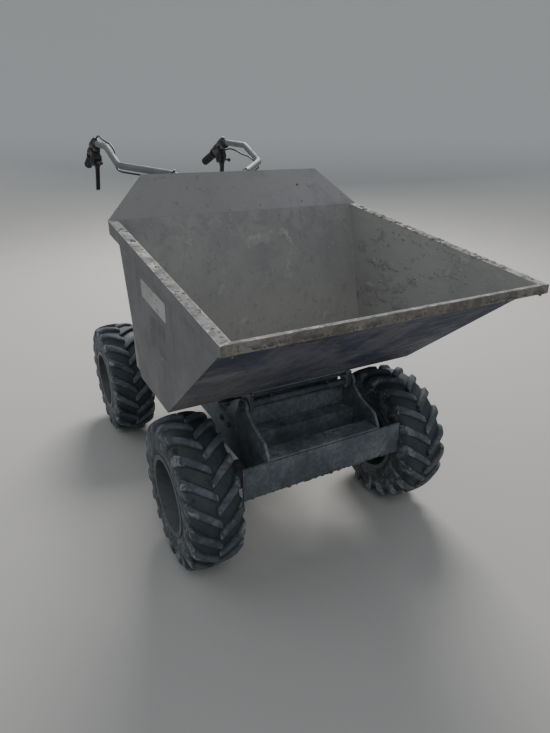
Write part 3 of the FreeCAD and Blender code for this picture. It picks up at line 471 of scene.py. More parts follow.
def turned(place, axis, spin=0.0):
    z = Vector(axis).normalized()
    x = z.orthogonal().normalized()
    y = z.cross(x)
    return Matrix.Translation(place) @ Matrix((x, y, z)).transposed().to_4x4() @ Matrix.Rotation(spin, 4, "Z")


def skin(bm, rows, closed=True):
    # faces between neighbouring rows of vertices, which run round or end open
    for a, b in zip(rows, rows[1:]):
        for i in range(len(a) if closed else len(a) - 1):
            k = (i + 1) % len(a)
            bm.faces.new((a[i], a[k], b[k], b[i]))


def cap(bm, rows):
    bm.faces.new(rows[0][::-1])
    bm.faces.new(rows[-1])


def lathe(bm, profile, place, steps=24, ends=True):
    # profile: radius and height
    rings = [[bm.verts.new(place @ Vector((r * math.cos(t) / 1000, r * math.sin(t) / 1000, h / 1000)))
              for t in circle(steps)] for r, h in profile]
    skin(bm, rings)
    if ends:
        cap(bm, rings)


def hexbolt(bm, where, axis, flats, height, spin=0.0, washer=True, stud=0.0):
    place = turned(where, axis, spin)
    start = 0.0
    if washer:
        lathe(bm, [(flats * 0.5, -0.4), (flats * 0.98, -0.4), (flats * 1.0, 0.6), (flats * 0.95, 1.6),
                   (flats * 0.5, 1.6)], place, 20)
        start = 1.4
    r = flats / math.sqrt(3)
    top = start + height
    lathe(bm, [(r, start), (r, start + height * 0.84), (r * 0.93, top), (r * 0.5, top),
               (r * 0.42, start + height * 0.93)], place, 6)
    if stud:
        s = flats * 0.3
        lathe(bm, [(s, start), (s, top + stud - 1.2), (s * 0.72, top + stud)], place, 12)


def blob(bm, where, normal, size, flat, seed, detail=2):
    made = bmesh.ops.create_icosphere(bm, subdivisions=detail, radius=1.0)["verts"]
    place = turned(where, normal, seed * 1.7)
    rnd = random.Random(seed)
    wide, deep = rnd.uniform(0.65, 1.35), rnd.uniform(0.65, 1.35)
    for v in made:
        lump = noise.noise(v.co * 1.7 + Vector((seed, 0, 0))) * 0.55
        lump += noise.noise(v.co * 4.0 + Vector((0, seed, 0))) * 0.25
        p = v.co * (1.0 + lump)
        v.co = place @ Vector((p.x * size * wide / 1000, p.y * size * deep / 1000, p.z * size * flat / 1000))


def draw(rnd, span):
    # span: both ends, or both ends and the peak between them
    return rnd.uniform(*span) if len(span) == 2 else rnd.triangular(*span)


def drops(bm, rnd, count, spot, normal, size, flat, seed, detail=1):
    # lumps at places drawn by spot(), with their size and flatness drawn from the spans
    for k in range(count):
        where = at(*spot())
        broad = draw(rnd, size)
        blob(bm, where, normal, broad, draw(rnd, flat) if isinstance(flat, tuple) else flat, seed + k, detail)


def bead(bm, points, radius, seed):
    # weld bead: a low ripple that follows the corner
    rnd = random.Random(seed)
    path = []
    for a, b in zip(points, points[1:]):
        steps = max(2, int((b - a).length / 0.0035))
        path += [a.lerp(b, i / steps) for i in range(steps)]
    path.append(points[-1])
    rings = []
    for i, p in enumerate(path):
        run = (path[min(i + 1, len(path) - 1)] - path[max(i - 1, 0)]).normalized()
        x = run.orthogonal().normalized()
        y = run.cross(x)
        r = radius / 1000 * (1.0 + 0.20 * math.sin(i * 2.2) + rnd.uniform(-0.10, 0.12))
        rings.append([bm.verts.new(p + (x * math.cos(t) + y * math.sin(t)) * r) for t in circle(7)])
    skin(bm, rings)
    cap(bm, rings)


def beads(bm, table, sides=(1, -1)):
    # table: x, y, z of both ends, radius, seed
    for side in sides:
        for x0, y0, z0, x1, y1, z1, radius, seed in table:
            bead(bm, [at(side * x0, y0, z0), at(side * x1, y1, z1)], radius, seed)


def grid(bm, nu, nv, point, material=0):
    rows = [[bm.verts.new(point(i / nu, k / nv)) for k in range(nv + 1)] for i in range(nu + 1)]
    for a, b in zip(rows, rows[1:]):
        for k in range(nv):
            bm.faces.new((a[k], b[k], b[k + 1], a[k + 1])).material_index = material
    return rows


def margin(a, left, right):
    # 0 at both ends of 0..1, 1 between
    return min(1.0, left * a, right * (1.0 - a))


def solid(name, bm):
    mesh = bpy.data.meshes.new(name)
    bmesh.ops.recalc_face_normals(bm, faces=bm.faces)
    bm.to_mesh(mesh)
    bm.free()
    mesh.polygons.foreach_set("use_smooth", [True] * len(mesh.polygons))
    obj = bpy.data.objects.new(name, mesh)
    scene.collection.objects.link(obj)
    return obj


def piece(name, bm, mats, body, angle=38):
    obj = solid(name, bm)
    for key in ((mats,) if isinstance(mats, str) else mats):
        obj.data.materials.append(MATS[key])
    obj.data.set_sharp_from_angle(angle=math.radians(angle))
    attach(obj, body)
    return obj


# Tyres: carcass and curved lugs with rounded edges, one pitch repeated round each half of the tread

LUGS = 19
PITCH = 360.0 / LUGS
PHASE = 180.0 - math.degrees(10.0 / AXLE_Z)
# distance from the wheel's middle, radius
CARCASS = [(0, 197), (16, 196.8), (32, 195.4), (46, 192.6), (56, 188.0), (63, 181.6), (67.5, 174), (70.4, 165),
           (72.2, 155), (72.8, 146), (72.3, 137), (71.2, 129.5), (71.9, 127.6), (71.7, 125.4), (69.9, 123.6),
           (69.2, 118.5), (68.0, 115.5), (66.8, 113.0), (66.4, 108.0), (66.2, 102.2)]
# foot of the lug on the carcass and its top edge, each as distance and radius, turn, half widths at top and foot
LUG_ROWS = [(-3.5, 196.2, -2.5, 208.2, 0.5, 7.0, 11.5), (2, 196.4, 3, 208.8, -0.6, 8.6, 13.0),
            (12, 196.2, 13, 208.5, -3.0, 9.4, 13.6), (24, 195.4, 25, 207.8, -5.8, 9.7, 13.6),
            (36, 193.8, 37.5, 206.2, -8.4, 10.0, 13.8), (47, 191.2, 49, 203.8, -10.9, 10.4, 14.2),
            (56, 186.8, 60, 200.4, -13.2, 11.0, 15.0), (62, 181.4, 66.6, 196.6, -14.6, 11.4, 15.6),
            (65.6, 175.4, 70.4, 189.4, -15.2, 11.4, 16.0), (68.4, 168.4, 72.6, 180.6, -15.6, 11.2, 16.0),
            (70.4, 161.0, 73.0, 171.4, -15.8, 10.6, 15.4), (71.2, 153.4, 73.0, 162.0, -16.0, 9.0, 13.6)]
# across half a lug: place between the foot at -1 and the middle at 1, share of the height, wear
SECTION = [(-1.0, 0.0, 0), (-0.93, 0.18, 0), (-0.40, 0.62, 1), (-0.14, 0.90, 1), (0.10, 0.985, 1), (0.5, 1.0, 1)]
CROSS = [(-1,) + row for row in SECTION] + [(1,) + row for row in SECTION[::-1]]
ROUND_STEPS = 114


def lug_width(w, top, foot):
    if w < 0:
        return top + (foot - top) * min(1.0, max(0.0, -w))
    return top * (1.0 - w * (0.9 if w < 0.2 else 1.1))


def make_tyre(wheel, side, wx, wy, seed):
    bm = bmesh.new()
    layer = bm.loops.layers.float_color.new("wear")
    rnd = random.Random(seed)
    marks = {}

    def vert(u, r, turn, mark):
        t = math.radians(turn)
        v = bm.verts.new(at(side * wx + u, wy - r * math.sin(t), AXLE_Z + r * math.cos(t)))
        marks[v] = mark
        return v

    rings = []
    for u, r in [(-u, r) for u, r in CARCASS[::-1]] + CARCASS[1:]:
        wall = min(1.0, max(0.0, (184.0 - r) / 18.0))
        ring = []
        for i in range(ROUND_STEPS):
            turn = 360.0 * i / ROUND_STEPS
            rough = 0.0
            if 150 < r < 196:
                t = math.radians(turn) * 3
                rough = noise.noise(Vector((u * 0.05, 3.0 * math.cos(t), 3.0 * math.sin(t) + seed))) * 0.8
            ring.append(vert(u, r + rough, turn, (0.0, wall, 0.0)))
        rings.append(ring)
    skin(bm, rings)
    for k in range(LUGS):
        for hand in (1, -1):
            centre = PHASE + PITCH * (k + (0.5 if hand != side else 0.0))
            cut = rnd.uniform(0.0, 1.1)
            rows = []
            for n, (ub, rb, ut, rt, turn, top, foot) in enumerate(LUG_ROWS):
                drop = cut if n > 0 else cut + 0.5
                end = 1.0 if n in (0, 6, 7, 8) else 0.35
                wall = min(1.0, max(0.0, (190.0 - rb) / 22.0))
                nick = rnd.uniform(-0.35, 0.35)
                row = []
                for s, w, h, m in CROSS:
                    r = rb + (rt - drop - rb) * h
                    spread = math.degrees(lug_width(w, top, foot) / max(r, 120.0))
                    mark = (h * m, wall, end if h > 0.3 else 0.0)
                    row.append(vert(hand * (ub + (ut - ub) * h), r + nick * h * 0.6, centre + turn + s * spread, mark))
                rows.append(row)
            skin(bm, rows, False)
            bm.faces.new(rows[0])
            bm.faces.new(rows[-1])
    for face in bm.faces:
        for loop in face.loops:
            loop[layer] = marks[loop.vert] + (1.0,)
    obj = piece("tread_" + wheel, bm, "tread", "wheel_" + wheel, 46)
    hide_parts("tyre_" + wheel)


for n, (wheel, side, wx, wy) in enumerate(WHEELS):
    make_tyre(wheel, side, wx, wy, 11 + n)


# Wheel fittings: rolled edge of the rim, wheel nuts, valve, clumps of mud between the lugs

for n, (wheel, side, wx, wy) in enumerate(WHEELS):
    def spot(inset, radius, t):
        return at(side * (wx - inset), wy + radius * math.cos(t), AXLE_Z + radius * math.sin(t))

    out = Vector((side, 0, 0))
    middle = turned(spot(0, 0, 0), out)
    bm = bmesh.new()
    for s in (1, -1):
        ring = [(108.6 + 2.5 * math.cos(t), s * (67.6 + 2.3 * math.sin(t))) for t in circle(10, 1)]
        lathe(bm, ring, middle, 96, False)
    lathe(bm, [(97.9, 49.2), (96.6, 47.6), (96.2, 46.0), (96.6, 44.4), (97.9, 42.8)], middle, 96, False)
    # the rolled edges carry the lighter copy of the rim paint, a painted highlight
    piece("rim_edge_" + wheel, bm, "rimedge", "wheel_" + wheel, 60)
    bm = bmesh.new()
    for k in range(5):
        hexbolt(bm, spot(10, 47, math.radians(90 + 72 * k + 9 * n)), out, 20, 13, 0.3 * k, True, 6)
    for k in range(12):
        hexbolt(bm, spot(80, 27, math.radians(30 * k + 4)), -out, 5, 2, 0.2 * k, False)
    lathe(bm, [(29, 18.5), (30.4, 20), (30.2, 22.5), (27, 24.2), (27, 18.5)], turned(spot(15, 0, 0), out), 36, False)
    piece("wheel_nuts_" + wheel, bm, "zinc", "wheel_" + wheel)
    bm = bmesh.new()
    t = math.radians(52 + 70 * n)
    lathe(bm, [(7, 0), (7, 4), (4.4, 9), (3.2, 16), (3.2, 27), (4.6, 28), (4.6, 36), (3.4, 38)],
          turned(spot(12, 84, t), (side, -0.15 * math.cos(t), -0.15 * math.sin(t))), 16)
    piece("valve_" + wheel, bm, "black", "wheel_" + wheel)
    bm = bmesh.new()
    rnd = random.Random(70 + n)
    for k in range(34):
        hand = rnd.choice((1, -1))
        lug = PHASE + PITCH * (rnd.randrange(LUGS) + (0.5 if hand != side else 0.0) + 0.5)
        u = rnd.uniform(6, 56)
        t = math.radians(lug - 15.0 * u / 66 + rnd.uniform(-1.6, 1.6))
        r = 196.2 - 10 * (u / 60) ** 2.4
        blob(bm, at(side * wx + hand * u, wy - r * math.sin(t), AXLE_Z + r * math.cos(t)),
             (0, -math.sin(t), math.cos(t)), rnd.uniform(3.0, 8.0), rnd.uniform(0.25, 0.45), 300 * n + k, 2)
    piece("lug_mud_" + wheel, bm, "rubbermud", "wheel_" + wheel, 80)


# Skip: mortar crust on the rim, patches on the inside, bolts of the backboard, corner welds, blank label

def rim_top(y):
    return RIM_FRONT_Z + (RIM_REAR_Z - RIM_FRONT_Z) / (RIM_REAR - RIM_FRONT) * (y - RIM_FRONT)


def slope_z(y):
    return FLOOR_Z + (FLOOR_FRONT - y) * (RIM_FRONT_Z - FLOOR_Z) / (FLOOR_FRONT - RIM_FRONT)


def rear_y(z):
    return FLOOR_REAR + (RIM_REAR - FLOOR_REAR) * (z - FLOOR_Z) / (RIM_REAR_Z - FLOOR_Z)


def rough_at(x, y, z):
    return noise.fractal(Vector((x, y, z)), 0.8, 2.1, 5)


for side, name, tall, lumps, along, across, sizes in (
        (-1, "rim_crust_right", 2.4, 30, (-790, -90), (376, 395), (1.6, 4.2)),
        (1, "rim_crust_left", 3.2, 90, (-780, -80, -420), (374.5, 393), (2.0, 6.4))):
    def crust(a, b):
        y = -804.0 + 736.0 * a
        x = side * (WALL_IN + 24.6 * b)
        n = rough_at(x * 0.03, y * 0.03, 5.0 * side)
        m = rough_at(x * 0.11, y * 0.11, 9.0 * side)
        edge = margin(b, 5.0, 7.0) * margin(a, 30, 30)
        lift = (0.35 + 0.9 * n + 0.35 * m) * tall
        return at(x, y, rim_top(y) + max(-0.8, lift) * edge - 0.5 * (1 - edge))

    bm = bmesh.new()
    grid(bm, 520, 9, crust)
    rnd = random.Random(5 + side)

    def on_rim():
        y = draw(rnd, along)
        return side * draw(rnd, across), y, rim_top(y) + 0.4

    drops(bm, rnd, lumps, on_rim, (0, -0.13, 1), sizes, (0.4, 0.75), 40 * side, 2)
    piece(name, bm, "crust", "skip", 80)


def hem_face(a, b):
    x = -396.5 + 793.0 * a
    z = rim_top(HEM_Y) - 17.5 + 18.6 * b
    n = rough_at(x * 0.035, z * 0.05, 1.0 + 2.0)
    m = rough_at(x * 0.12, z * 0.14, 1.0 + 4.0)
    edge = min(1.0, 5.0 * b + 0.1, 6.0 * (1.0 - b)) * margin(a, 40, 40)
    return at(x, HEM_Y - min(0.9, max(-0.8, 0.1 + 1.5 * n + 0.8 * m)) * edge + 0.3, z)


def hem_top(a, b):
    x = -396.5 + 793.0 * a
    y = HEM_Y - 0.2 + 11.3 * b
    n = rough_at(x * 0.04, y * 0.05, 3.0 + 7.0)
    edge = min(1.0, 4.0 * b + 0.25, 6.0 * (1.0 - b)) * margin(a, 40, 40)
    return at(x, y, rim_top(y) + max(-0.6, 0.5 + 1.6 * n) * edge - 0.2)


bm = bmesh.new()
grid(bm, 560, 7, hem_face)
grid(bm, 560, 5, hem_top, 1)
rnd = random.Random(77)
drops(bm, rnd, 70, lambda: (rnd.uniform(-385, 385), HEM_Y + 0.1, rim_top(HEM_Y) - rnd.uniform(1, 19)),
      (0, -1, 0.1), (1.2, 3.2), (0.15, 0.28), 900)
piece("hem_crust", bm, ("hemcrust", "crust"), "skip", 80)


# patches of mortar on the sides and the rear wall, which stand out of the sheet where they are thick
def flank(side):
    def point(a, b):
        y = -770.0 + 660.0 * a
        low = max(470.0, slope_z(y) + 8.0) if y < -395 else 470.0
        z = low + (rim_top(y) - 6.0 - low) * b
        n = noise.fractal(Vector((y * 0.010, z * 0.017, side * 3.0 + 12.0)), 1.1, 2.0, 3)
        m = noise.fractal(Vector((y * 0.045, z * 0.055, side * 3.0 + 20.0)), 1.2, 2.0, 2)
        near = max(0.0, 1.0 - abs(y + 250.0) / 330.0) * max(0.0, 1.0 - abs(z - (640.0 - 0.28 * (y + 200))) / 150.0)
        lift = (n * 1.2 + near * 0.9 - 0.55) * 3.4 + m * 0.7
        edge = min(margin(a, 18, 18), margin(b, 12, 12))
        return at(side * (374.0 - min(4.5, max(-1.0, lift)) * edge + 1.0 * (1 - edge)), y, z)
    return point


def rear(a, b):
    x = -366.0 + 732.0 * a
    z = 470.0 + 396.0 * b
    n = rough_at(x * 0.012, 5.0, z * 0.012 + 31.0)
    m = rough_at(x * 0.06, 5.0, z * 0.06 + 36.0)
    edge = min(margin(a, 14, 14), margin(b, 10, 10))
    lift = (n * 1.1 - 0.62) * 2.4 + m * 0.5
    return at(x, rear_y(z) - 4.1 - min(2.2, max(-0.9, lift)) * edge + 0.9 * (1 - edge), z)


bm = bmesh.new()
grid(bm, 200, 110, flank(1))
grid(bm, 120, 60, flank(-1))
grid(bm, 190, 110, rear)
piece("inside_mortar", bm, "inside", "skip", 80)


# drops of mortar: on the left wall, the rear wall, the slope and the floor inside, on both walls outside
def on_wall():
    y = rnd.triangular(-720, -120, -300)
    return WALL_IN, y, rnd.uniform(max(480, slope_z(y) + 20), rim_top(y) - 10)


def on_rear():
    z = rnd.uniform(480, 860)
    return rnd.uniform(-360, 366), rear_y(z) - 4.0, z


def on_slope():
    y = rnd.uniform(-760, -420)
    return rnd.uniform(-360, 366), y, slope_z(y) + 5.0


def on_outside():
    y = rnd.uniform(-700, -120)
    return side * WALL_OUT, y, rnd.uniform(max(470, slope_z(y)) + 12, rim_top(y) - 60)


def under_slope():
    y = rnd.uniform(-765, -410)
    return rnd.triangular(-370, 370, -330), y, slope_z(y) - 0.2


bm = bmesh.new()
rnd = random.Random(8)
drops(bm, rnd, 130, on_wall, (-1, 0, 0), (1.2, 5.2), (0.2, 0.5), 0)
drops(bm, rnd, 110, on_rear, (0, -1, 0.24), (0.9, 3.4), (0.2, 0.45), 200)
drops(bm, rnd, 60, on_slope, (0, 0.62, 0.78), (1.5, 6.0), (0.2, 0.45), 400)
drops(bm, rnd, 90, lambda: (rnd.triangular(-366, 366, 300), rnd.uniform(-395, -175), 465.0), UP, (2.5, 11.0),
      (0.2, 0.45), 600, 2)
for side, count in ((-1, 26), (1, 20)):
    drops(bm, rnd, count, on_outside, (side, 0, 0), (0.9, 2.6), 0.3, 800)
piece("mortar_drops", bm, "inside", "skip", 80)

# drops of mortar under the slope, in the darker copy of the mortar that is painted shade
bm = bmesh.new()
drops(bm, rnd, 90, under_slope, (0, -0.62, -0.78), (1.2, 7.0, 2.0), (0.10, 0.25), 1000)
piece("slope_mortar", bm, "under", "skip", 80)

bm = bmesh.new()
lean = Vector((0, -0.837, 0.547))
for z in (937, 891):
    y = RIM_REAR + (z - RIM_REAR_Z) * 68.0 / 104.0
    hexbolt(bm, at(199, y, z) + lean * 0.0001, lean, 7, 2.6, 0.4, True)
piece("board_bolts", bm, "steel", "skip")

bm = bmesh.new()
beads(bm, (
    (FLANK_SEAM, -403, 461.5, FLANK_SEAM, -770, slope_z(-770) + 0.5, 1.7, 3),
    (FLANK_SEAM, -403, 461.2, FLANK_SEAM, -166, 461.2, 1.7, 4),
    (FLANK_SEAM, -165, 462, FLANK_SEAM, -75, 836, 1.6, 5),
    (373.4, -400, 465.5, 373.4, -172, 465.5, 2.6, 6),
    (373.4, -408, 468.5, 373.4, -764, slope_z(-764) + 5.5, 2.4, 7),
    (373.2, -166, 474, 373.2, -74, 864, 2.2, 8),
    (162.5, -415, 459.6, 162.5, -330, 459.6, 2.4, 9),
    (151.5, -415, 459.6, 151.5, -330, 459.6, 2.4, 10)))
beads(bm, ((-161, -404, 460.0, 161, -404, 460.0, 2.2, 11), (-161, -362.5, 459.8, 161, -362.5, 459.8, 2.2, 12)), (1,))
piece("skip_welds", bm, "skip", "skip", 80)

# blank label on the right flank, with rounded corners
bm = bmesh.new()
tilt = math.atan(0.09)
ring = []
for cy, cz, start in ((87, 17, 0), (-87, 17, 90), (-87, -17, 180), (87, -17, 270)):
    for k in range(6):
        t = math.radians(start + 18 * k)
        y, z = cy + 6 * math.cos(t), cz + 6 * math.sin(t)
        ring.append((-359 + y * math.cos(tilt) - z * math.sin(tilt), 735 + y * math.sin(tilt) + z * math.cos(tilt)))
outer, inner = [[bm.verts.new(at(x, y, z)) for y, z in ring] for x in (-378.5, -377.9)]
bm.faces.new(outer)
skin(bm, [outer, inner])
piece("blank_label", bm, "label", "skip")


# Chassis: welds, bolts, mud on the ledge and along the lower edge of the front plate

bm = bmesh.new()
beads(bm, (
    (177, -537, 242, 177, -537, 329, 3.0, 21),
    (167, -538, 333, 167, -494, 333, 2.4, 22),
    (167, -540, 340.6, 167, -494, 340.6, 2.0, 23),
    (PLATE_IN, -420, 283, PLATE_IN, -420, 344, 2.6, 24),
    (PLATE_IN, FRONT_Y - 37, 246.6, PLATE_IN, FRONT_Y + 37, 246.6, 2.6, 25),
    (PLATE_IN, FRONT_Y - 5, 248, PLATE_IN, FRONT_Y - 5, 293, 2.4, 26),
    (PLATE_IN, REAR_Y - 37, 246.6, PLATE_IN, REAR_Y + 37, 246.6, 2.6, 25),
    (PLATE_IN, REAR_Y - 5, 248, PLATE_IN, REAR_Y - 5, 293, 2.4, 26),
    (PLATE_IN, -200, 307, PLATE_IN, -200, 344, 2.6, 27),
    (109.4, -195, 345.6, 150.6, -195, 345.6, 2.6, 28),
    (109.4, -165, 345.6, 150.6, -165, 345.6, 2.6, 29),
    (176.6, 25, 345.5, 176.6, 520, 345.5, 2.0, 30),
    (66, 25, 357.5, 66, 88, 357.5, 1.6, 31),
    (104.6, 41, 358, 104.6, 70, 358, 2.4, 32),
    (75.4, 41, 358, 75.4, 70, 358, 2.4, 33),
    (20.6, -158, 344, 20.6, -158, 308, 2.0, 34)))
beads(bm, ((-30, 545.6, 307.4, 30, 545.6, 307.4, 2.4, 35), (-30, 545.6, 294.6, 30, 545.6, 294.6, 2.4, 36)), (1,))
piece("chassis_welds", bm, "weld", "chassis", 80)

bm = bmesh.new()
rnd = random.Random(31)
for side in (1, -1):
    for y in (FRONT_Y, REAR_Y):
        for k in (-1, 1):
            hexbolt(bm, at(side * 147, y + k * 33, 174), (0, 0, -1), 15, 9, rnd.random(), True, 5)
            hexbolt(bm, at(side * 147, y + k * 30, 246), UP, 13, 7, rnd.random(), True)
    hexbolt(bm, at(side * 182, HINGE_Y, HINGE_Z), (side, 0, 0), 13, 5, 0.4, False)
    lathe(bm, [(2.6, 0), (2.6, 5), (4, 6.5), (3, 9)], turned(at(side * 90, HINGE_Y, HINGE_Z + 9), UP), 12)
    for x, y in ((-17, 33), (17, 33), (-17, 81), (17, 81)):
        hexbolt(bm, at(side * 90 + x, y, 357), UP, 12, 7, rnd.random(), True)
    for y in (150, 245, 480, 520):
        hexbolt(bm, at(side * 176, y, DECK), UP, 10, 5, rnd.random(), True)
    for y in (-300, -250, -100, -50):
        hexbolt(bm, at(side * 176, y, 320), (side, 0, 0), 12, 6, rnd.random(), True)
# bolts of the axle flanges and of the axles' middle casings, drain plugs
for flange_x, wy in ((234.0, FRONT_Y), (220.0, REAR_Y)):
    for side in (1, -1):
        for t in (math.radians(60 * k + 30) for k in range(6)):
            hexbolt(bm, at(side * flange_x, wy + 38 * math.cos(t), AXLE_Z + 38 * math.sin(t)), (-side, 0, 0), 9, 5,
                    rnd.random(), False)
    for t in (math.radians(36 * k + 12) for k in range(10)):
        for e in (1, -1):
            hexbolt(bm, at(e * 6, wy + 69.5 * math.cos(t), AXLE_Z + 69.5 * math.sin(t)), (e, 0, 0), 7, 4,
                    rnd.random(), False)
    lathe(bm, [(9, 0), (9, 6), (6, 7), (6, 3)], turned(at(28, wy - 60, AXLE_Z - 20), (0.2, -1, -0.3)), 6)
# seam of the gearbox, its plugs
for x in (58, -58):
    for z in (170, 215, 260, 296):
        hexbolt(bm, at(x, 120, z), (0, -1, 0), 8, 5, rnd.random(), False)
hexbolt(bm, at(0, 96, 154), (0, 0, -1), 16, 5, 0.2, False)
hexbolt(bm, at(56, 172, 236), (1, 0, 0), 15, 6, 0.2, False)
piece("chassis_bolts", bm, "iron", "chassis")

bm = bmesh.new()
rnd = random.Random(17)
for k in range(360):
    x = rnd.uniform(-244, 244)
    size = rnd.triangular(1.5, 6.5, 2.2)
    blob(bm, at(x, rnd.uniform(-544, -538), 240.5 + rnd.uniform(-1.2, 2.0)), (0, -0.6, -0.8), size,
         rnd.uniform(0.45, 0.9), k, 1)
drops(bm, rnd, 110, lambda: (rnd.uniform(-240, 240), -543.8, rnd.triangular(242, 328, 246)), (0, -1, 0),
      (1.0, 6.0, 1.6), (0.12, 0.3), 400)
drops(bm, rnd, 70, lambda: (rnd.uniform(-163, 163), rnd.uniform(-541, -496), LEDGE_Z), UP,
      (1.2, 6.5, 2.0), (0.15, 0.4), 600)
drops(bm, rnd, 60, lambda: (rnd.choice((1, -1)) * rnd.uniform(90, 225),
                            rnd.choice((FRONT_Y, REAR_Y)) + rnd.uniform(-24, 24), AXLE_Z + 29.2), UP,
      (2.0, 8.0), (0.3, 0.6), 800)
drops(bm, rnd, 150, lambda: (rnd.uniform(-182, 182), rnd.uniform(28, 538), DECK + 0.2), UP,
      (1.0, 4.5), (0.3, 0.5), 900)
piece("chassis_mud", bm, "mud", "chassis", 80)

# cover sheet between the side plates, over the front axle and its shaft
COVER_Z = 342.6
bm = bmesh.new()
# share of the width, rise of the sheet there
edge = [(0.0, 1.0), (0.03, 0.35), (0.09, 0.0), (0.30, 0.9), (0.50, 1.2), (0.70, 0.9), (0.91, 0.0), (0.97, 0.35),
        (1.0, 1.0)]
outline = [(-417, 337.0), (-415.6, 341.0)] + [(y, COVER_Z) for y in (-412, -380, -340, -300, -260, -215)]
outline += [(-206.5, 341.0), (-205, 337.0)]
sheets = []
for drop in (0.0, 2.4):
    rows = [[bm.verts.new(at(-165.0 + 330.0 * a, y,
                             z - drop + 1.2 * b + 0.5 * noise.noise(Vector((a * 5, y * 0.01, 3)))))
             for a, b in edge] for y, z in outline]
    for a, b in zip(rows, rows[1:]):
        for k in range(len(edge) - 1):
            bm.faces.new((a[k], b[k], b[k + 1], a[k + 1]))
    sheets.append(rows)
last, end = len(outline) - 1, len(edge) - 1
rim = [(0, k) for k in range(end + 1)] + [(i, end) for i in range(1, last + 1)]
rim += [(last, k) for k in range(end - 1, -1, -1)] + [(i, 0) for i in range(last - 1, 0, -1)]
skin(bm, [[rows[i][k] for i, k in rim] for rows in sheets])
for x in (-150, 150):
    for y in (HINGE_Y, -312, -226):
        hexbolt(bm, at(x, y, COVER_Z + 0.6), UP, 10, 4, 0.01 * y, True)
# bulkhead behind the hinge, up to just under the skip, its top edge folded back; lower wings beside the lugs
fold = [(-374.4, 342.0), (-374.4, 436.0), (-373.6, 438.8), (-371.4, 440.2), (-361.0, 440.4), (-361.0, 438.0),
        (-370.4, 437.8), (-371.6, 437.0), (-372.0, 435.0), (-372.0, 342.0)]
wing = [(-374.2, 342.0), (-374.2, 419.0), (-373.4, 421.0), (-372.8, 421.0), (-372.2, 419.0), (-372.2, 342.0)]
wing_x = (144.0, 148.0, 153.0, 159.0, 165.2)
for section, xs in ((fold, [-145.5 + 14.55 * k for k in range(21)]), (wing, wing_x), (wing, [-x for x in wing_x])):
    rows = [[bm.verts.new(at(x, y + 0.5 * noise.noise(Vector((x * 0.02, z * 0.02, 9))), z)) for y, z in section]
            for x in xs]
    skin(bm, rows)
    bm.faces.new(rows[0])
    bm.faces.new(rows[-1])
for x in (-154, 154):
    for z in (360, 390):
        hexbolt(bm, at(x, -374.4, z), (0, -1, 0), 9, 4, 0.01 * z, True)
piece("cover_sheet", bm, "teal", "chassis")


# Engine and its fittings

bm = bmesh.new()
rnd = random.Random(51)
# starter cover: rim and middle
for x, radius, count, first, flats, height, washer in ((-129, 87, 6, 20, 8, 4, True), (-155, 30, 5, 0, 7, 3, False)):
    for t in (math.radians(360 / count * k + first) for k in range(count)):
        hexbolt(bm, at(x, ENGINE_Y + radius * math.cos(t), CRANK_Z + radius * math.sin(t)), (-1, 0, 0), flats, height,
                rnd.random(), washer)
hexbolt(bm, at(-155, ENGINE_Y, CRANK_Z), (-1, 0, 0), 12, 5, 0.2, True)
# belt guard
for y, z in ((ENGINE_Y + 55, CRANK_Z), (ENGINE_Y, CRANK_Z + 56), (ENGINE_Y, CRANK_Z - 54), (200, 412), (160, 450),
             (230, 370)):
    hexbolt(bm, at(143, y, z), (1, 0, 0), 8, 4, rnd.random(), True)
# crankcase and its drain plug
for x in (-70, -24, 24, 70):
    for z in (60, 134):
        hexbolt(bm, at(x, ENGINE_Y + 84, DECK + z), (0, 1, 0), 9, 4, rnd.random(), False)
hexbolt(bm, at(-40, ENGINE_Y + 74, DECK + 20), (0, 1, -0.6), 14, 6, 0.1, True)
# silencer, control housing
for x, y in ((52, 172), (132, 172), (52, 250), (132, 250)):
    hexbolt(bm, at(x, y, 692.6), UP, 7, 3, rnd.random(), True)
for side in (1, -1):
    for y, z in ((127, 750), (142, 825)):
        hexbolt(bm, at(side * 72, y, z), (side, 0, 0), 8, 3, rnd.random(), True)
piece("engine_bolts", bm, "zinc", "chassis")

# seam round the tank, oil filler, spark plug cap, slots of the air cleaner
bm = bmesh.new()
seam_z = DECK + 266
x0, x1, y0, y1, r = -129.5, 113.5, ENGINE_Y - 63.5, ENGINE_Y + 97.5, 27.5
loop = []
for cx, cy, start in ((x1 - r, y1 - r, 0), (x0 + r, y1 - r, 90), (x0 + r, y0 + r, 180), (x1 - r, y0 + r, 270)):
    for t in (math.radians(start + 11.25 * k) for k in range(9)):
        loop.append((cx, cy, math.cos(t), math.sin(t)))
skin(bm, [[bm.verts.new(at(cx + (r + grow) * c, cy + (r + grow) * s, seam_z + dz)) for cx, cy, c, s in loop]
          for grow, dz in ((-2.0, -2.2), (3.0, -2.2), (4.0, -1.2), (4.0, 1.2), (3.0, 2.2), (-2.0, 2.2))])
lathe(bm, [(10, 0), (10, 14), (14, 15), (14, 26), (10, 29)],
      turned(at(-70, ENGINE_Y + 82, DECK + 40), (-0.3, 0.9, 0.5)), 10)
lathe(bm, [(9, 0), (9, 20), (11, 22), (11, 44), (8, 52)],
      turned(at(-5, ENGINE_Y - 196, DECK + 240), (0, -0.45, 0.9)), 16)
for k in range(6):
    y = 160 + (26 + 13 * k) * 0.9
    a, b = at(-150.6, y, 632), at(-150.6, y, 664)
    lathe(bm, [(1.8, 0.0), (1.8, (b - a).length * 1000)], turned(a, b - a), 8)
piece("engine_fittings", bm, "blackpaint", "chassis")


# Handlebar: ribbed grips, covers and screws of the levers, cable ties

LEVER_BACK = 177.0


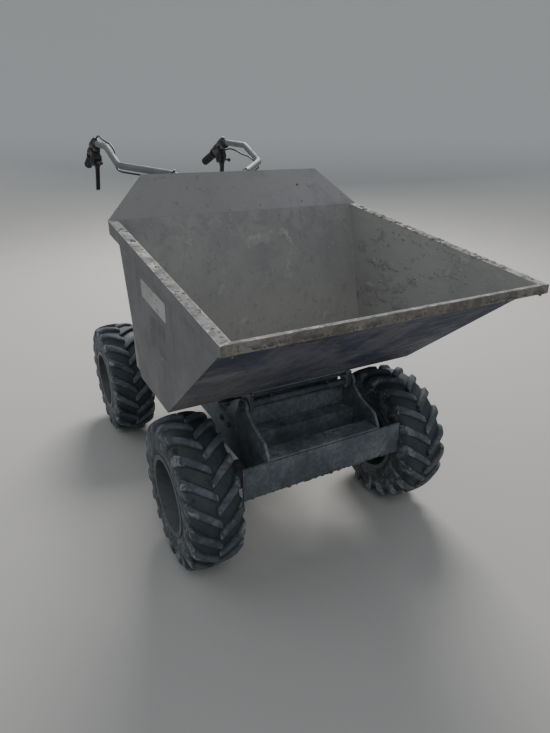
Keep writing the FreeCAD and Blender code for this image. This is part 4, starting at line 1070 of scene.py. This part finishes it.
def bar_place(s, back):
    # point on the straight of the bar that carries the grip, that far before its end, and the bar's run
    a, b = Vector(BAR[-2]), Vector(BAR[-1])
    run = (b - a).normalized()
    run = Vector((s * run.x, run.y, run.z))
    return Vector((s * b.x, b.y, b.z)) - run * back, run


bm = bmesh.new()
for s in (1, -1):
    start, run = bar_place(s, 118.0)
    profile = [(11.2, 0.0), (21.0, 0.0), (21.5, 1.2), (21.5, 3.8), (20.6, 5.0), (16.0, 5.6)]
    for h in (9.0 + 5.0 * k for k in range(21)):
        profile += [(14.6, h - 2.0), (16.4, h - 1.0), (16.5, h + 0.6), (14.6, h + 1.6)]
    profile += [(15.0, 116.0), (16.5, 117.5), (16.3, 121.0), (13.0, 122.8), (4.0, 123.0)]
    lathe(bm, profile, turned(at(*start), run), 40, False)
obj = piece("ribbed_grips", bm, "grip", "chassis", 60)
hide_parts("grips")

bm = bmesh.new()
for s in (1, -1):
    spot, run = bar_place(s, LEVER_BACK)
    for e in (1, -1):
        hexbolt(bm, at(spot.x + e * 14, spot.y - 2, spot.z - 40), (e, 0, 0), 8, 3, 0.3, True)
        hexbolt(bm, at(spot.x + e * 9, spot.y + 12, spot.z + 14), UP, 5, 3, 0.1, False)
piece("lever_screws", bm, "zinc", "chassis")


def pillow(bm, place, half, power=0.55, steps=20):
    def soft(v):
        return math.copysign(abs(v) ** power, v)

    rings = []
    for i in range(1, steps // 2):
        a = -math.pi / 2 + math.pi * i / (steps // 2)
        c = soft(math.cos(a))
        rings.append([bm.verts.new(place @ Vector((half[0] * c * soft(math.cos(t)) / 1000,
                                                   half[1] * c * soft(math.sin(t)) / 1000,
                                                   half[2] * soft(math.sin(a)) / 1000))) for t in circle(steps)])
    skin(bm, rings)
    cap(bm, rings)


bm = bmesh.new()
for s in (1, -1):
    spot, run = bar_place(s, LEVER_BACK)
    for along, up, half in ((-30, 12, (18, 20, 27)), (24, 4, (19, 22, 21))):
        pillow(bm, turned(at(*(spot + run * along + Vector((0, 0, up)))), run), half)
    pillow(bm, turned(at(spot.x, spot.y - 8, spot.z - 32), (0, -0.2, 1)), (17, 20, 24))
    profile = [(11.3, 0), (15, 0.5)]
    for k in range(4):
        profile += [(16.5 - 0.7 * k, 3 + 6 * k), (13.5 - 0.5 * k, 6 + 6 * k)]
    profile += [(11.2, 28)]
    lathe(bm, profile, turned(at(*(spot - run * 54)), -run), 24, False)
piece("lever_covers", bm, "black", "chassis", 50)

bm = bmesh.new()
clamp = Vector(BAR[0]) + (Vector(BAR[1]) - Vector(BAR[0])).normalized() * 26.0
for s in (1, -1):
    for e in (-1, 1):
        hexbolt(bm, at(s * (clamp.x + e * 7), clamp.y + e * 9 - 2, clamp.z + 18 + e * 5), (0, -0.3, 1), 8, 6,
                0.2 * e, True)
piece("control_screws", bm, "zinc", "chassis")


# one tie on each side round the bar and the cable, where both rise from the control housing
TIE_Y = 186
CABLE = ((132, 192, 948), (100, 172, 925))
BAR_RADIUS, CABLE_RADIUS = 11.0, 3.0


def crossing(a, b, y):
    a, b = Vector(a), Vector(b)
    return a.lerp(b, (y - a.y) / (b.y - a.y)), (b - a).normalized()


bm = bmesh.new()
bar, run = crossing(BAR[0], BAR[1], TIE_Y)
cable = crossing(CABLE[0], CABLE[1], TIE_Y)[0]
cable = cable - run * (cable - bar).dot(run)
x = (cable - bar).normalized()
z = run.cross(x)
gap = (cable - bar).length
for s in (1, -1):
    def mirrored(p):
        return bm.verts.new(at(s * p.x, p.y, p.z))

    rings = []
    for along, grow in ((-2.2, 0.5), (-2.2, 1.4), (2.2, 1.4), (2.2, 0.5)):
        first, second = BAR_RADIUS + grow, CABLE_RADIUS + grow
        ring = []
        for t in circle(40):
            d = x * math.cos(t) + z * math.sin(t)
            p = bar + d * first if first >= gap * math.cos(t) + second else cable + d * second
            ring.append(mirrored(p + run * along))
        rings.append(ring)
    skin(bm, rings + rings[:1])
    head = bar - x * 12.0 + z * 1.5
    ring = [(-3, -2.4), (3, -2.4), (3, 2.4), (-3, 2.4)]
    low = [mirrored(head + z * a + run * b) for a, b in ring]
    top = [mirrored(head - x * 3.6 + z * a * 0.8 + run * b * 0.85) for a, b in ring]
    bm.faces.new(low)
    bm.faces.new(top)
    skin(bm, [low, top])
piece("cable_ties", bm, "black", "chassis")

# rubber boot of the gear lever
bm = bmesh.new()
low, high = (Vector(p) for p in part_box("gear_lever"))
foot = Vector(((low.x + high.x) / 2 - 0.001, low.y + 0.013, low.z + 0.006))
profile = [(15, -2), (15.5, 0)]
for k in range(4):
    profile += [(14.5 - 2.2 * k, 2.0 + 5 * k), (12.5 - 2.2 * k, 4.4 + 5 * k)]
profile += [(5.4, 23), (5.0, 26)]
lathe(bm, profile, turned(foot, (0, 0.12, 1)), 24, False)
piece("gear_boot", bm, "black", "chassis", 60)


# Floor: pale, turned up into a wide round backdrop, in metres

FLAT, BEND, HEIGHT = 4.2, 6.4, 3.7
bm = bmesh.new()
profile = [(0.02, 0.0), (1.5, 0.0), (3.0, 0.0), (FLAT, 0.0)]
profile += [(FLAT + BEND * math.sin(t), HEIGHT - HEIGHT * math.cos(t))
            for t in (math.pi / 2 * k / 28 for k in range(1, 29))]
rings = [[bm.verts.new((r * math.cos(t), r * math.sin(t), h)) for t in circle(96)] for r, h in profile]
skin(bm, rings)
bm.faces.new(rings[0])
floor = solid("floor", bm)
g = Graph("floor_pale")
# painted light: the backdrop is made lighter the higher it rises
pale = g.mix((0.47, 0.455, 0.435), (0.80, 0.79, 0.77), g.ramp(g.split(g.at)[2], -0.05, 1.1))
floor.data.materials.append(g.finish(pale, 0.88, g.noise(60.0, 4.0), 0.0004, 0.3))
